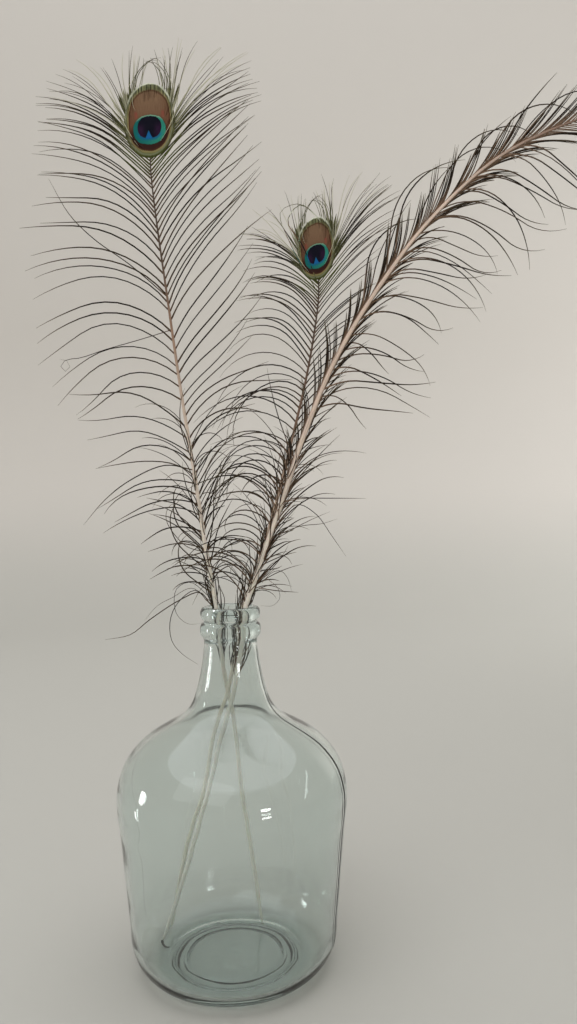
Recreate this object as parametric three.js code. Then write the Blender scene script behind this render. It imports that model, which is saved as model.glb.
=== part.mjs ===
// Three peacock train feathers standing in a glass demijohn.
// Millimetres, +Z up. The origin is the centre of the demijohn's base, which stands on z = 0.
// Seen from the front, along +Y, the feathers fan out to the left and to the right (+X).

import * as THREE from 'three';

// ---- driving dimensions ----

// Demijohn: outside radii and heights.
const BASE_RADIUS = 77;            // flat of the base
const HEEL_RISE = 42;              // height at which the rounded heel meets the side
const HEEL_REACH = 35;             // how far the heel swings out past the flat
const HEEL_STEPS = 5;              // straight stretches round the heel
const BODY_RADIUS = 125;           // widest, at the shoulder ridge
const BODY_WIDEST_HEIGHT = 184;
const NECK_RADIUS = 29.2;
const RIM_HEIGHT = 386.5;
const MOUTH_RADIUS = 22;
const WALL = 4.5;                  // thickness of the side
const SHOULDER_INSET = 3.4;        // how far the inside lies in from the shoulder, and below it
const NECK_WALL = 4;
const NECK_DROP = 0.5;             // how far the neck's inside lies below its outside
const NECK_ROWS = 4;               // of SHOULDER's points, how many are on the neck
const FLOOR = 7;                   // thickness of the base
const VASE_SEGMENTS = 32;

// Outside of the body above the heel: a side that widens slowly, then the shoulder and the neck.
const SIDE = [[112.5, 50], [120, 131], [124.8, 164], [BODY_RADIUS, BODY_WIDEST_HEIGHT]];
const SHOULDER = [[123.4, 200], [118.4, 216], [109.5, 230], [98.5, 241.5], [84.5, 251],
  [70, 259], [56, 267], [47, 276], [41.5, 286], [37, 300], [33.3, 316], [30.6, 332]];
// Outside of the rim: a thin step, then two rounded beads.
const RIM = [[NECK_RADIUS, 346], [NECK_RADIUS, 352], [32.6, 357.5], [33, 364], [32.4, 368.5],
  [29.4, 371.5], [32, 375], [32.8, 380], [32, 384.5], [28, RIM_HEIGHT]];
// Inside of the mouth, from its rounded lip down to where the neck begins to widen.
const MOUTH = [[23.5, 385.7], [MOUTH_RADIUS, 382.5], [MOUTH_RADIUS, 356], [25.2, 344]];

// The glass is one piece in reality. Its solid is cut level low in the heel, above the heel and
// at its widest, because the hulls of one deep hollow body would close parts of the hollow. The
// four bodies stand on each other with a hair's gap.
const HEEL_CUT = 19.6;             // height of the lowest cut
const CUT_GAP = 0.3;

// Feathers: a barb leaves the shaft at one angle and ends at another, both measured from the
// shaft's own direction, and a vane is the sheet through a feather's barbs.
const VANE_THICKNESS = 1.2;
const SHAFT_COLUMNS = 2;           // strips of the sheet on either half of the shaft
const EDGE_TURN = 1.3;             // how far round the shaft they go, in radians from its front
const BARB_STEPS = 4;              // straight stretches in one barb
const QUILL_STEP = 30;             // distance between the sections of the bare quill
const VANE_STEP = 24;              // distance between the barbs that shape a vane

// Each route runs from the quill's end on the vase's floor to the middle of the eye.
// A girth row is [distance along the shaft, radius]; a barb row is
// [distance along the shaft, length, angle at the shaft, angle at the tip], angles in degrees.
const FEATHERS = [
  {
    name: 'left_feather',
    colour: 0x4a4a2e,
    twist: [-8, -8],
    route: [[28, 52, 10], [20, 46, 76], [8, 38, 165], [-1, 30, 258], [-10, 20, 311],
      [-16, 8, 384], [-25, 2, 443], [-34, -8, 518], [-48, -20, 623], [-60, -30, 725],
      [-69, -36, 803], [-73, -39, 850], [-73, -42, 905]],
    girth: [[0, 1.3], [40, 2.2], [380, 2.3], [520, 2.1], [720, 1.4], [860, 0.9], [910, 0.6]],
    left: [[418, 25, 60, 110], [470, 80, 50, 115], [517, 132, 45, 122], [590, 136, 42, 122],
      [640, 130, 50, 100], [700, 152, 48, 118], [740, 155, 46, 104], [800, 142, 44, 97],
      [845, 142, 42, 84], [868, 140, 36, 62], [888, 122, 20, 36], [905, 84, 3, 6]],
    right: [[418, 25, 60, 110], [480, 72, 30, 110], [540, 96, 26, 92], [600, 124, 25, 88],
      [650, 146, 23, 62], [700, 172, 22, 48], [750, 152, 25, 50], [800, 138, 30, 58],
      [845, 136, 40, 68], [868, 134, 34, 56], [888, 118, 20, 34], [905, 84, 3, 6]],
  },
  {
    name: 'middle_feather',
    colour: 0x55532f,
    twist: [-6, -36],
    route: [[-78, 44, 12], [-58, 36, 105], [-36, 28, 174], [-21, 19, 243], [-5, 13, 291],
      [6, 10, 342], [14, 9, 384], [31, 11, 431], [51, 14, 495], [71, 18, 570], [88, 22, 639],
      [98, 25, 691], [104, 28, 737], [102, 29, 793]],
    girth: [[0, 1.2], [40, 2.0], [390, 2.2], [520, 2.0], [700, 1.4], [780, 0.9], [820, 0.6]],
    left: [[428, 30, 60, 120], [480, 78, 45, 120], [540, 104, 40, 130], [600, 118, 34, 128],
      [650, 128, 36, 100], [700, 124, 40, 104], [740, 124, 44, 96], [765, 118, 36, 62],
      [785, 100, 20, 34], [800, 78, 3, 6]],
    right: [[428, 16, 40, 80], [500, 34, 28, 60], [600, 44, 26, 56], [690, 66, 30, 60],
      [740, 86, 38, 60], [765, 94, 32, 50], [785, 92, 20, 32], [800, 78, 3, 6]],
  },
  {
    name: 'right_feather',
    colour: 0x6a5a48,
    twist: [10, 10],
    route: [[-83, 13, 12], [-65, 10, 62], [-37, 4, 150], [-15, -1, 230], [2, -5, 291],
      [11, -7, 339], [17, -7, 384], [28, -9, 416], [43, -12, 458], [59, -14, 500],
      [82, -18, 567], [119, -24, 652], [166, -30, 727], [222, -36, 797], [293, -44, 857],
      [370, -52, 889], [433, -58, 902], [490, -62, 905]],
    girth: [[0, 1.2], [40, 2.2], [390, 2.6], [560, 3.0], [760, 2.5], [940, 1.8], [1080, 1.1],
      [1160, 0.6]],
    left: [[420, 24, 40, 60], [506, 52, 24, 16], [582, 66, 26, 8], [675, 88, 28, -14],
      [763, 100, 30, -30], [853, 104, 28, -34], [947, 100, 28, -18], [1030, 104, 32, 8],
      [1080, 118, 40, 50], [1112, 124, 36, 56], [1136, 112, 20, 34], [1152, 80, 3, 6]],
    right: [[420, 24, 40, 90], [506, 74, 28, 70], [582, 100, 30, 118], [675, 96, 34, 104],
      [763, 116, 34, 96], [853, 118, 32, 88], [947, 112, 34, 86], [1030, 116, 38, 84],
      [1080, 124, 42, 78], [1112, 124, 36, 60], [1136, 112, 20, 34], [1152, 80, 3, 6]],
  },
];

// ---- materials ----

const glass = new THREE.MeshStandardMaterial({
  color: 0xb4cbc3, roughness: 0.05, metalness: 0, transparent: true, opacity: 0.35,
});

function featherFinish(colour) {
  return new THREE.MeshStandardMaterial({
    color: colour, roughness: 0.7, metalness: 0, side: THREE.DoubleSide,
  });
}

// ---- shared geometry ----

// The value at x of a table whose rows start with x, straight between the rows.
function lookUp(table, x, column) {
  const last = table.length - 1;
  if (x <= table[0][0]) return table[0][column];
  if (x >= table[last][0]) return table[last][column];
  const i = table.findIndex((row) => row[0] >= x);
  const share = (x - table[i - 1][0]) / (table[i][0] - table[i - 1][0]);
  return THREE.MathUtils.lerp(table[i - 1][column], table[i][column], share);
}

// A closed sheet: a box whose corners are moved by place(column, row, face). Columns run from
// -columns to columns across it, rows from 0 to rows, and face is -1 on its back, 1 on its front.
function sheet(columns, rows, place) {
  const geometry = new THREE.BoxGeometry(2 * columns, rows, 2, 2 * columns, rows, 1);
  const position = geometry.attributes.position;
  for (let i = 0; i < position.count; i += 1) {
    const column = Math.round(position.getX(i));
    const row = Math.round(position.getY(i) + rows / 2);
    const point = place(column, row, position.getZ(i));
    position.setXYZ(i, point.x, point.y, point.z);
  }
  geometry.computeVertexNormals();
  return geometry;
}

// ---- demijohn ----

// A quarter of an ellipse from its lowest point to its outermost, without the last point.
function heel(reach, drop) {
  return Array.from({ length: HEEL_STEPS }, (_, i) => {
    const turn = (i / HEEL_STEPS) * (Math.PI / 2);
    return [BASE_RADIUS + reach * Math.sin(turn), HEEL_RISE - drop * Math.cos(turn)];
  });
}

function moved(points, inward, down) {
  return points.map(([radius, height]) => [radius - inward, height - down]);
}

// The point where a profile that runs upwards crosses a height.
function crossing(profile, height) {
  return [lookUp(profile.map(([radius, z]) => [z, radius]), height, 1), height];
}

// The parts of a profile below a height and above it.
function below(profile, height) {
  return [...profile.filter(([, z]) => z < height), crossing(profile, height)];
}

function above(profile, height) {
  return [crossing(profile, height), ...profile.filter(([, z]) => z > height)];
}

// The outside and the inside of the rounded heel, up to the side's lowest edge.
function heelOutside() {
  return [...heel(HEEL_REACH, HEEL_RISE), SIDE[0]];
}

function heelInside() {
  return [...heel(HEEL_REACH - WALL, HEEL_RISE - FLOOR), ...moved(SIDE.slice(0, 1), WALL, 0)];
}

// A turned body of glass from its section, which runs up its outside and down its inside.
function turned(name, section) {
  const points = section.map(([radius, height]) => new THREE.Vector2(radius, height));
  const geometry = new THREE.LatheGeometry(points, VASE_SEGMENTS);
  geometry.rotateX(Math.PI / 2);
  const body = new THREE.Mesh(geometry, glass);
  body.name = name;
  return body;
}

// The base, and the lowest part of the heel that rounds up from it.
function makeFoot() {
  return turned('vase_foot', [[0, 0], ...below(heelOutside(), HEEL_CUT),
    ...below(heelInside(), HEEL_CUT).reverse(), [0, FLOOR]]);
}

// The heel from there up to the side.
function makeHeel() {
  const outside = above(heelOutside(), HEEL_CUT + CUT_GAP);
  const inside = above(heelInside(), HEEL_CUT + CUT_GAP).reverse();
  return turned('vase_heel', [...outside, ...inside, outside[0]]);
}

// The side, from the heel up to the widest place.
function makeSide() {
  const outside = [...moved(SIDE.slice(0, 1), 0, -CUT_GAP), ...SIDE.slice(1)];
  const inside = moved(outside, WALL, 0).reverse();
  return turned('vase_side', [...outside, ...inside, outside[0]]);
}

// The shoulder, the neck and the beaded rim.
function makeNeck() {
  const widest = moved(SIDE.slice(-1), 0, -CUT_GAP);
  const down = [...SHOULDER].reverse();
  return turned('vase_neck', [...widest, ...SHOULDER, ...RIM, ...MOUTH,
    ...moved(down.slice(0, NECK_ROWS), NECK_WALL, NECK_DROP),
    ...moved(down.slice(NECK_ROWS), SHOULDER_INSET, SHOULDER_INSET),
    ...moved(widest, WALL, 0), ...widest]);
}

// ---- feathers ----

// A feather's shaft as a curve with a direction across the vane and one out of it.
class Rachis {
  constructor({ route, twist }) {
    this.curve = new THREE.CatmullRomCurve3(
      route.map((point) => new THREE.Vector3(...point)), false, 'centripetal');
    this.curve.arcLengthDivisions = 1200;
    this.length = this.curve.getLength();
    this.twist = twist;
  }

  // The point at a distance from the quill's end, the shaft's direction there, the direction
  // across the vane to the right, and the one out of the vane to the front.
  at(distance) {
    const share = THREE.MathUtils.clamp(distance / this.length, 0, 1);
    const point = this.curve.getPointAt(share);
    const along = this.curve.getTangentAt(share);
    const turn = THREE.MathUtils.degToRad(
      THREE.MathUtils.lerp(...this.twist, THREE.MathUtils.smoothstep(share, 0.5, 1)));
    const front = new THREE.Vector3(Math.sin(turn), -Math.cos(turn), 0);
    const across = new THREE.Vector3().crossVectors(along, front).normalize();
    const out = new THREE.Vector3().crossVectors(across, along).normalize();
    return { point, along, across, out };
  }
}

// The point on a barb at a share of its length, from its place on the shaft. Side is -1 on the
// left of the shaft and 1 on its right.
function barbPoint({ point, along, across }, side, [, length, atShaft, atTip], share) {
  const end = point.clone();
  const steps = 8;
  for (let i = 0; i < steps; i += 1) {
    const angle = THREE.MathUtils.degToRad(
      THREE.MathUtils.lerp(atShaft, atTip, (share * (i + 0.5)) / steps));
    const step = (length * share) / steps;
    end.addScaledVector(along, Math.cos(angle) * step);
    end.addScaledVector(across, side * Math.sin(angle) * step);
  }
  return end;
}

// The shaft and both of its vanes as one sheet, thick over the shaft and thin out to the barbs'
// tips. Below the first barbs, all of the sheet's columns go round the bare quill.
function makeFeather(feather) {
  const rachis = new Rachis(feather);
  const firstBarb = feather.left[0][0];
  const lastBarb = feather.left[feather.left.length - 1][0];
  const quillRows = Math.round(firstBarb / QUILL_STEP);
  const vaneRows = Math.round((lastBarb - firstBarb) / VANE_STEP);
  const columns = SHAFT_COLUMNS + BARB_STEPS;

  const geometry = sheet(columns, quillRows + vaneRows, (column, row, face) => {
    const distance = row < quillRows
      ? (firstBarb * row) / quillRows
      : firstBarb + ((lastBarb - firstBarb) * (row - quillRows)) / vaneRows;
    const place = rachis.at(distance);
    const radius = lookUp(feather.girth, distance, 1);
    const side = Math.sign(column);
    const beyond = Math.abs(column) - SHAFT_COLUMNS;
    if (row >= quillRows && beyond > 0) {
      const rows = side < 0 ? feather.left : feather.right;
      const barb = [0, 1, 2, 3].map((entry) => lookUp(rows, distance, entry));
      return barbPoint(place, side, barb, beyond / BARB_STEPS)
        .addScaledVector(place.out, (face * VANE_THICKNESS) / 2);
    }
    const turn = (column / (row < quillRows ? columns : SHAFT_COLUMNS)) * EDGE_TURN;
    return place.point.clone()
      .addScaledVector(place.across, radius * Math.sin(turn))
      .addScaledVector(place.out, face * radius * Math.cos(turn));
  });

  const mesh = new THREE.Mesh(geometry, featherFinish(feather.colour));
  mesh.name = feather.name;
  return mesh;
}

// ---- assembly ----

const group = new THREE.Group();
group.add(makeFoot(), makeHeel(), makeSide(), makeNeck());
FEATHERS.forEach((feather) => group.add(makeFeather(feather)));

export default group;
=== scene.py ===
"""Three peacock train feathers standing in a clear glass demijohn.

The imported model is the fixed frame. The demijohn is spun from its section, each shaft is a swept
rod, and each vane is some two hundred separate barbs that are fanned, curled and tangled from a
few rows of measures. Lengths are millimetres, but for the studio's metres, and angles are
degrees. The front faces -Y and +Z is up.
"""

import logging
import math
import random
from dataclasses import dataclass, field
from enum import Enum
from typing import Callable, Iterable, Iterator, Optional, Sequence, Union

import bpy
import numpy as np
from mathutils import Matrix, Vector, noise


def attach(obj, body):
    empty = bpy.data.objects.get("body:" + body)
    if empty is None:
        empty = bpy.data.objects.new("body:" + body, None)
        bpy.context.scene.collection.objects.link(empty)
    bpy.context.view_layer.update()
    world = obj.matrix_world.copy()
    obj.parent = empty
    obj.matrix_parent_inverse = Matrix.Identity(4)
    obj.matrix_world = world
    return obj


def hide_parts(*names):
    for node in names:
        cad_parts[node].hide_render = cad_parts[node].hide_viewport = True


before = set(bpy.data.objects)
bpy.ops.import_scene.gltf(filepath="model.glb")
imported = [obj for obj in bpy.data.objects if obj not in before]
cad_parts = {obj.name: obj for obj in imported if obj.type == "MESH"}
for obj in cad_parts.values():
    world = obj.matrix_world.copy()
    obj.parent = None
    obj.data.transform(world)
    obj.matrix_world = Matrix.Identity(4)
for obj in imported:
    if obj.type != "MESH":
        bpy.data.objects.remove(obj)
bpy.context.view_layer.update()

LOG = logging.getLogger("peacock_feathers")
MM = 0.001
BODY = "root"
FEATHER_SLOT = "feather"
GLASS_SLOT = "glass"
UV_STRAND = "strand"
UV_EYE = "eye"
UV_BACK = "back"
# Millimetres of an eye in one unit of its UV map.
EYE_UNIT = 50.0
# The sRGB curve: where its straight part ends, that part's slope, and the rest's offset and power.
SRGB_KNEE, SRGB_SLOPE, SRGB_OFFSET, SRGB_POWER = 0.04045, 12.92, 0.055, 2.4

Point = tuple[float, float, float]
Row = tuple[float, ...]
Colour = tuple[float, float, float, float]

FRONT = np.array([0.0, -1.0, 0.0])
TINY = 1e-9


def srgb(red: float, green: float, blue: float) -> Colour:
    """Turn a screen colour into the linear colour that a node takes.

    Args:
        red: its red part, 0 to 255.
        green: its green part, 0 to 255.
        blue: its blue part, 0 to 255.

    Returns:
        The colour, with an alpha of 1.
    """
    values = []
    for part in (red / 255, green / 255, blue / 255):
        curved = ((part + SRGB_OFFSET) / (1 + SRGB_OFFSET)) ** SRGB_POWER
        values.append(part / SRGB_SLOPE if part <= SRGB_KNEE else curved)
    return (*values, 1.0)


def ramp_stops(*rows: tuple[float, float, float, float]) -> list[tuple[float, Colour]]:
    """A ramp's stops, from rows of a place and a screen colour's three parts."""
    return [(place, srgb(*parts)) for place, *parts in rows]


# ---- shader helpers ----


def joined(operation: str, swapped: bool = False) -> Callable[["Number", "Value"], "Number"]:
    """Make an operator of Number out of a Math node.

    Args:
        operation: Blender's name of the operation.
        swapped: whether the other value comes first.

    Returns:
        The operator.
    """

    def join(this: "Number", other: "Value") -> "Number":
        """The two values joined by the node."""
        pair = (other, this) if swapped else (this, other)
        return this.maths(operation, *pair)

    return join


class Number:
    """A value that changes over a surface: a node's output, with arithmetic."""

    __add__ = joined("ADD")
    __mul__ = joined("MULTIPLY")
    __rmul__ = joined("MULTIPLY", True)
    __sub__ = joined("SUBTRACT")
    __rsub__ = joined("SUBTRACT", True)
    __truediv__ = joined("DIVIDE")
    __pow__ = joined("POWER")

    def __init__(self, tree: "Tree", socket: bpy.types.NodeSocket) -> None:
        """Keep the socket and its tree."""
        self.tree = tree
        self.socket = socket

    def __abs__(self) -> "Number":
        """This without its sign."""
        return self.maths("ABSOLUTE", self)

    def maths(self, operation: str, *values: "Value") -> "Number":
        """The result of a Math node on some values."""
        made = self.tree.node("ShaderNodeMath", {"operation": operation}, dict(enumerate(values)))
        return Number(self.tree, made.outputs[0])

    def step(self, low: float, high: float) -> "Number":
        """Ease this value from 0 to 1.

        Args:
            low: where the result is 0.
            high: where the result is 1, which may be less than low.

        Returns:
            The eased value.
        """
        ends = (low, high, 0.0, 1.0) if low < high else (high, low, 1.0, 0.0)
        made = self.tree.node(
            "ShaderNodeMapRange",
            {"interpolation_type": "SMOOTHSTEP"},
            {"Value": self, **dict(enumerate(ends, 1))},
        )
        return Number(self.tree, made.outputs[0])


Value = Union[Number, float]


class Tree:
    """The node tree of one material."""

    def __init__(self, name: str) -> None:
        """Make an empty material.

        Args:
            name: its name.
        """
        self.material = bpy.data.materials.new(name)
        self.material.use_nodes = True
        self.material.node_tree.nodes.clear()

    def node(
        self,
        kind: str,
        settings: Optional[dict[str, object]] = None,
        inputs: Optional[dict[Union[str, int], object]] = None,
    ) -> bpy.types.Node:
        """Add a node.

        Args:
            kind: Blender's type of the node.
            settings: the node's properties, set first; "stops" are a ramp's (place, colour).
            inputs: a value or a link for each input socket, by its name or number.

        Returns:
            The node.
        """
        made = self.material.node_tree.nodes.new(kind)
        for key, value in (settings or {}).items():
            if key == "stops":
                elements = made.color_ramp.elements
                while len(elements) < len(value):
                    elements.new(0.5)
                for element, (place, colour) in zip(elements, value):
                    element.position = place
                    element.color = colour
            else:
                setattr(made, key, value)
        for key, value in (inputs or {}).items():
            if isinstance(value, Number):
                value = value.socket
            if isinstance(value, bpy.types.NodeSocket):
                self.material.node_tree.links.new(value, made.inputs[key])
            else:
                made.inputs[key].default_value = value
        return made

    def mix(self, share: Value, first: object, second: object) -> bpy.types.NodeSocket:
        """The colour that is first where share is 0 and second where it is 1."""
        made = self.node("ShaderNodeMix", {"data_type": "RGBA"}, {0: share, 6: first, 7: second})
        return made.outputs[2]

    def ramp(self, value: Value, stops: Sequence[tuple[float, Colour]]) -> bpy.types.NodeSocket:
        """A colour that follows a value through (place, colour) stops."""
        return self.node("ShaderNodeValToRGB", {"stops": stops}, {"Fac": value}).outputs["Color"]

    def split(self, place: bpy.types.NodeSocket) -> list[Number]:
        """The three parts of a vector."""
        parts = self.node("ShaderNodeSeparateXYZ", {}, {0: place}).outputs
        return [Number(self, part) for part in parts]

    def uv(self, name: str) -> list[Number]:
        """The two coordinates of a UV map."""
        return self.split(self.node("ShaderNodeUVMap", {"uv_map": name}).outputs["UV"])[:2]

    def object_place(self) -> bpy.types.NodeSocket:
        """The object's own coordinates."""
        return self.node("ShaderNodeTexCoord").outputs["Object"]

    def vector(self, x: Value, y: Value, z: Value = 0.0) -> bpy.types.NodeSocket:
        """Three values as a vector."""
        return self.node("ShaderNodeCombineXYZ", {}, {"X": x, "Y": y, "Z": z}).outputs["Vector"]

    def noise(self, place: bpy.types.NodeSocket, scale: float, detail: float) -> Number:
        """Soft noise, mostly between 0.3 and 0.7."""
        inputs = {"Vector": place, "Scale": scale, "Detail": detail}
        return Number(self, self.node("ShaderNodeTexNoise", {}, inputs).outputs[0])

    def bump(self, height: Number, strength: float, distance: float) -> bpy.types.NodeSocket:
        """A bump of the surface's normal."""
        inputs = {"Height": height, "Strength": strength, "Distance": distance}
        return self.node("ShaderNodeBump", {}, inputs).outputs["Normal"]

    def finish(
        self, volume: Optional[bpy.types.NodeSocket] = None, **inputs: object
    ) -> bpy.types.Material:
        """Shade the material with one Principled BSDF.

        Args:
            volume: the shader of the material's inside, if it has one.
            inputs: the Principled BSDF's inputs, with underscores for their spaces.

        Returns:
            The material.
        """
        named = {key.replace("_", " "): value for key, value in inputs.items()}
        ends = {"Surface": self.node("ShaderNodeBsdfPrincipled", {}, named).outputs[0]}
        if volume is not None:
            ends["Volume"] = volume
        self.node("ShaderNodeOutputMaterial", {}, ends)
        return self.material


# ---- mesh helpers ----


class Element(Enum):
    """What is selected of a mesh, by Blender's name for it."""

    FACE = "FACE"
    POINT = "VERT"


def deselect() -> None:
    """Select nothing, with no object being edited."""
    if bpy.context.object is not None and bpy.context.object.mode != "OBJECT":
        bpy.ops.object.mode_set(mode="OBJECT")
    bpy.ops.object.select_all(action="DESELECT")


def make_active(item: bpy.types.Object) -> None:
    """Select one object alone.

    Args:
        item: the object.
    """
    deselect()
    item.select_set(True)
    bpy.context.view_layer.objects.active = item


def new_object(
    name: str,
    points: np.ndarray,
    faces: Sequence[Sequence[int]],
    edges: Sequence[Sequence[int]] = (),
) -> bpy.types.Object:
    """Add a mesh object.

    Args:
        name: the object's name.
        points: its points, in millimetres.
        faces: each face's point numbers.
        edges: each loose edge's point numbers.

    Returns:
        The object, with smooth faces.
    """
    mesh = bpy.data.meshes.new(name)
    mesh.from_pydata((np.asarray(points) * MM).tolist(), [tuple(e) for e in edges], list(faces))
    mesh.polygons.foreach_set("use_smooth", [True] * len(mesh.polygons))
    item = bpy.data.objects.new(name, mesh)
    bpy.context.scene.collection.objects.link(item)
    return item


def select(item: bpy.types.Object, kind: Element, chosen: Callable[..., bool]) -> None:
    """Select the faces or the points that pass a test, and go into edit mode.

    Args:
        item: the object.
        kind: what to select.
        chosen: the test, of a face's middle and normal or of a point's place.
    """
    make_active(item)
    bpy.ops.object.mode_set(mode="EDIT")
    bpy.ops.mesh.select_mode(type=kind.value)
    bpy.ops.mesh.select_all(action="DESELECT")
    bpy.ops.object.mode_set(mode="OBJECT")
    if kind is Element.FACE:
        for face in item.data.polygons:
            face.select = chosen(face.center, face.normal)
    else:
        for point in item.data.vertices:
            point.select = chosen(point.co)
    bpy.ops.object.mode_set(mode="EDIT")


def spin(
    name: str, outline: np.ndarray, steps: int, weld: float, inward: bool
) -> bpy.types.Object:
    """Spin an outline once round the vertical axis.

    Args:
        name: the object's name.
        outline: the outline's points, in millimetres.
        steps: the number of steps in the turn.
        weld: how near to each other points are made one, in metres.
        inward: whether the faces look inward.

    Returns:
        The object.
    """
    item = new_object(name, outline, [], [(i, i + 1) for i in range(len(outline) - 1)])
    make_active(item)
    bpy.ops.object.mode_set(mode="EDIT")
    bpy.ops.mesh.select_all(action="SELECT")
    bpy.ops.mesh.spin(steps=steps, angle=math.tau, center=(0, 0, 0), axis=(0, 0, 1))
    bpy.ops.mesh.select_all(action="SELECT")
    bpy.ops.mesh.remove_doubles(threshold=weld)
    bpy.ops.mesh.normals_make_consistent(inside=inward)
    bpy.ops.object.mode_set(mode="OBJECT")
    return item


def report(item: bpy.types.Object, slot: str, *nodes: str) -> None:
    """Make a piece ride on the body in place of the frame's solids, and log it.

    Args:
        item: the piece.
        slot: its material slot, which is not used.
        nodes: the nodes that it replaces.
    """
    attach(item, BODY)
    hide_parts(*nodes)
    LOG.info("%s: %d faces", item.name, len(item.data.polygons))


def look_up(rows: Sequence[Row], place: float, column: int = 1) -> float:
    """The value at a place in rows that start with it, straight between the rows."""
    return float(np.interp(place, [row[0] for row in rows], [row[column] for row in rows]))


def smoothstep(value: float, low: float, high: float) -> float:
    """A smooth rise from 0 at low to 1 at high."""
    share = min(max((value - low) / (high - low), 0.0), 1.0)
    return share * share * (3 - 2 * share)


def unit(vector: np.ndarray) -> np.ndarray:
    """A vector, or each row of an array of them, at length 1."""
    return vector / np.maximum(np.linalg.norm(vector, axis=-1, keepdims=True), TINY)


def smooth_line(points: Sequence[Sequence[float]], steps: int = 24) -> np.ndarray:
    """A centripetal Catmull-Rom curve.

    Args:
        points: the points that it passes through.
        steps: the number of its points between two of them.

    Returns:
        The points along the curve.
    """
    given = [np.array(point, float) for point in points]
    given = [2 * given[0] - given[1], *given, 2 * given[-1] - given[-2]]
    share = np.linspace(0, 1, steps, endpoint=False)[:, None]
    pieces = []
    for a, b, c, d in zip(given, given[1:], given[2:], given[3:]):
        first, middle, last = (math.sqrt(np.linalg.norm(q - p)) for p, q in ((a, b), (b, c), (c, d)))
        leave = ((b - a) / first - (c - a) / (first + middle) + (c - b) / middle) * middle
        arrive = ((c - b) / middle - (d - b) / (middle + last) + (d - c) / last) * middle
        cubic = 2 * b - 2 * c + leave + arrive
        square = -3 * b + 3 * c - 2 * leave - arrive
        pieces.append(b + share * leave + share**2 * square + share**3 * cubic)
    return np.vstack([*pieces, given[-2][None]])


def distances(line: np.ndarray) -> np.ndarray:
    """How far along a line each of its points is."""
    steps = np.linalg.norm(np.diff(line, axis=0), axis=1)
    return np.concatenate([[0.0], np.cumsum(steps)])


def resample(line: np.ndarray, count: int) -> np.ndarray:
    """Space a line's points evenly.

    Args:
        line: the line's points.
        count: the number of points that it is to have.

    Returns:
        The new points, along the same way.
    """
    reached = distances(line)
    wanted = np.linspace(0, reached[-1], count)
    return np.column_stack([np.interp(wanted, reached, line[:, axis]) for axis in range(3)])


# ---- demijohn ----


class Section(Enum):
    """The two sides of the demijohn's wall."""

    OUTSIDE = "outside"
    INSIDE = "inside"


@dataclass(frozen=True)
class GlassFinish:
    """Pale blue-green bottle glass, tinted by its thickness."""

    roughness: float = 0.015
    ior: float = 1.5
    skin: Colour = (0.888, 0.926, 0.916, 1.0)
    tint: Colour = (0.1, 0.5, 0.46, 1.0)
    tint_density: float = 7.5
    ripple_scale: float = 14.0
    seed_scale: float = 90.0
    seed_share: float = 0.03
    bump: tuple[float, float] = (0.12, 0.002)

    def make(self) -> bpy.types.Material:
        """Make the material, with slow ripples and a few seeds in its surface.

        Returns:
            The material.
        """
        tree = Tree("bottle_glass")
        place = tree.object_place()
        seeds = tree.noise(place, self.seed_scale, 1.0)
        ripples = tree.noise(place, self.ripple_scale, 1.0) + self.seed_share * seeds
        depth = {"Color": self.tint, "Density": self.tint_density}
        return tree.finish(
            tree.node("ShaderNodeVolumeAbsorption", {}, depth).outputs[0],
            Base_Color=self.skin,
            Roughness=self.roughness,
            IOR=self.ior,
            Transmission_Weight=1.0,
            Normal=tree.bump(ripples, *self.bump),
        )


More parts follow.
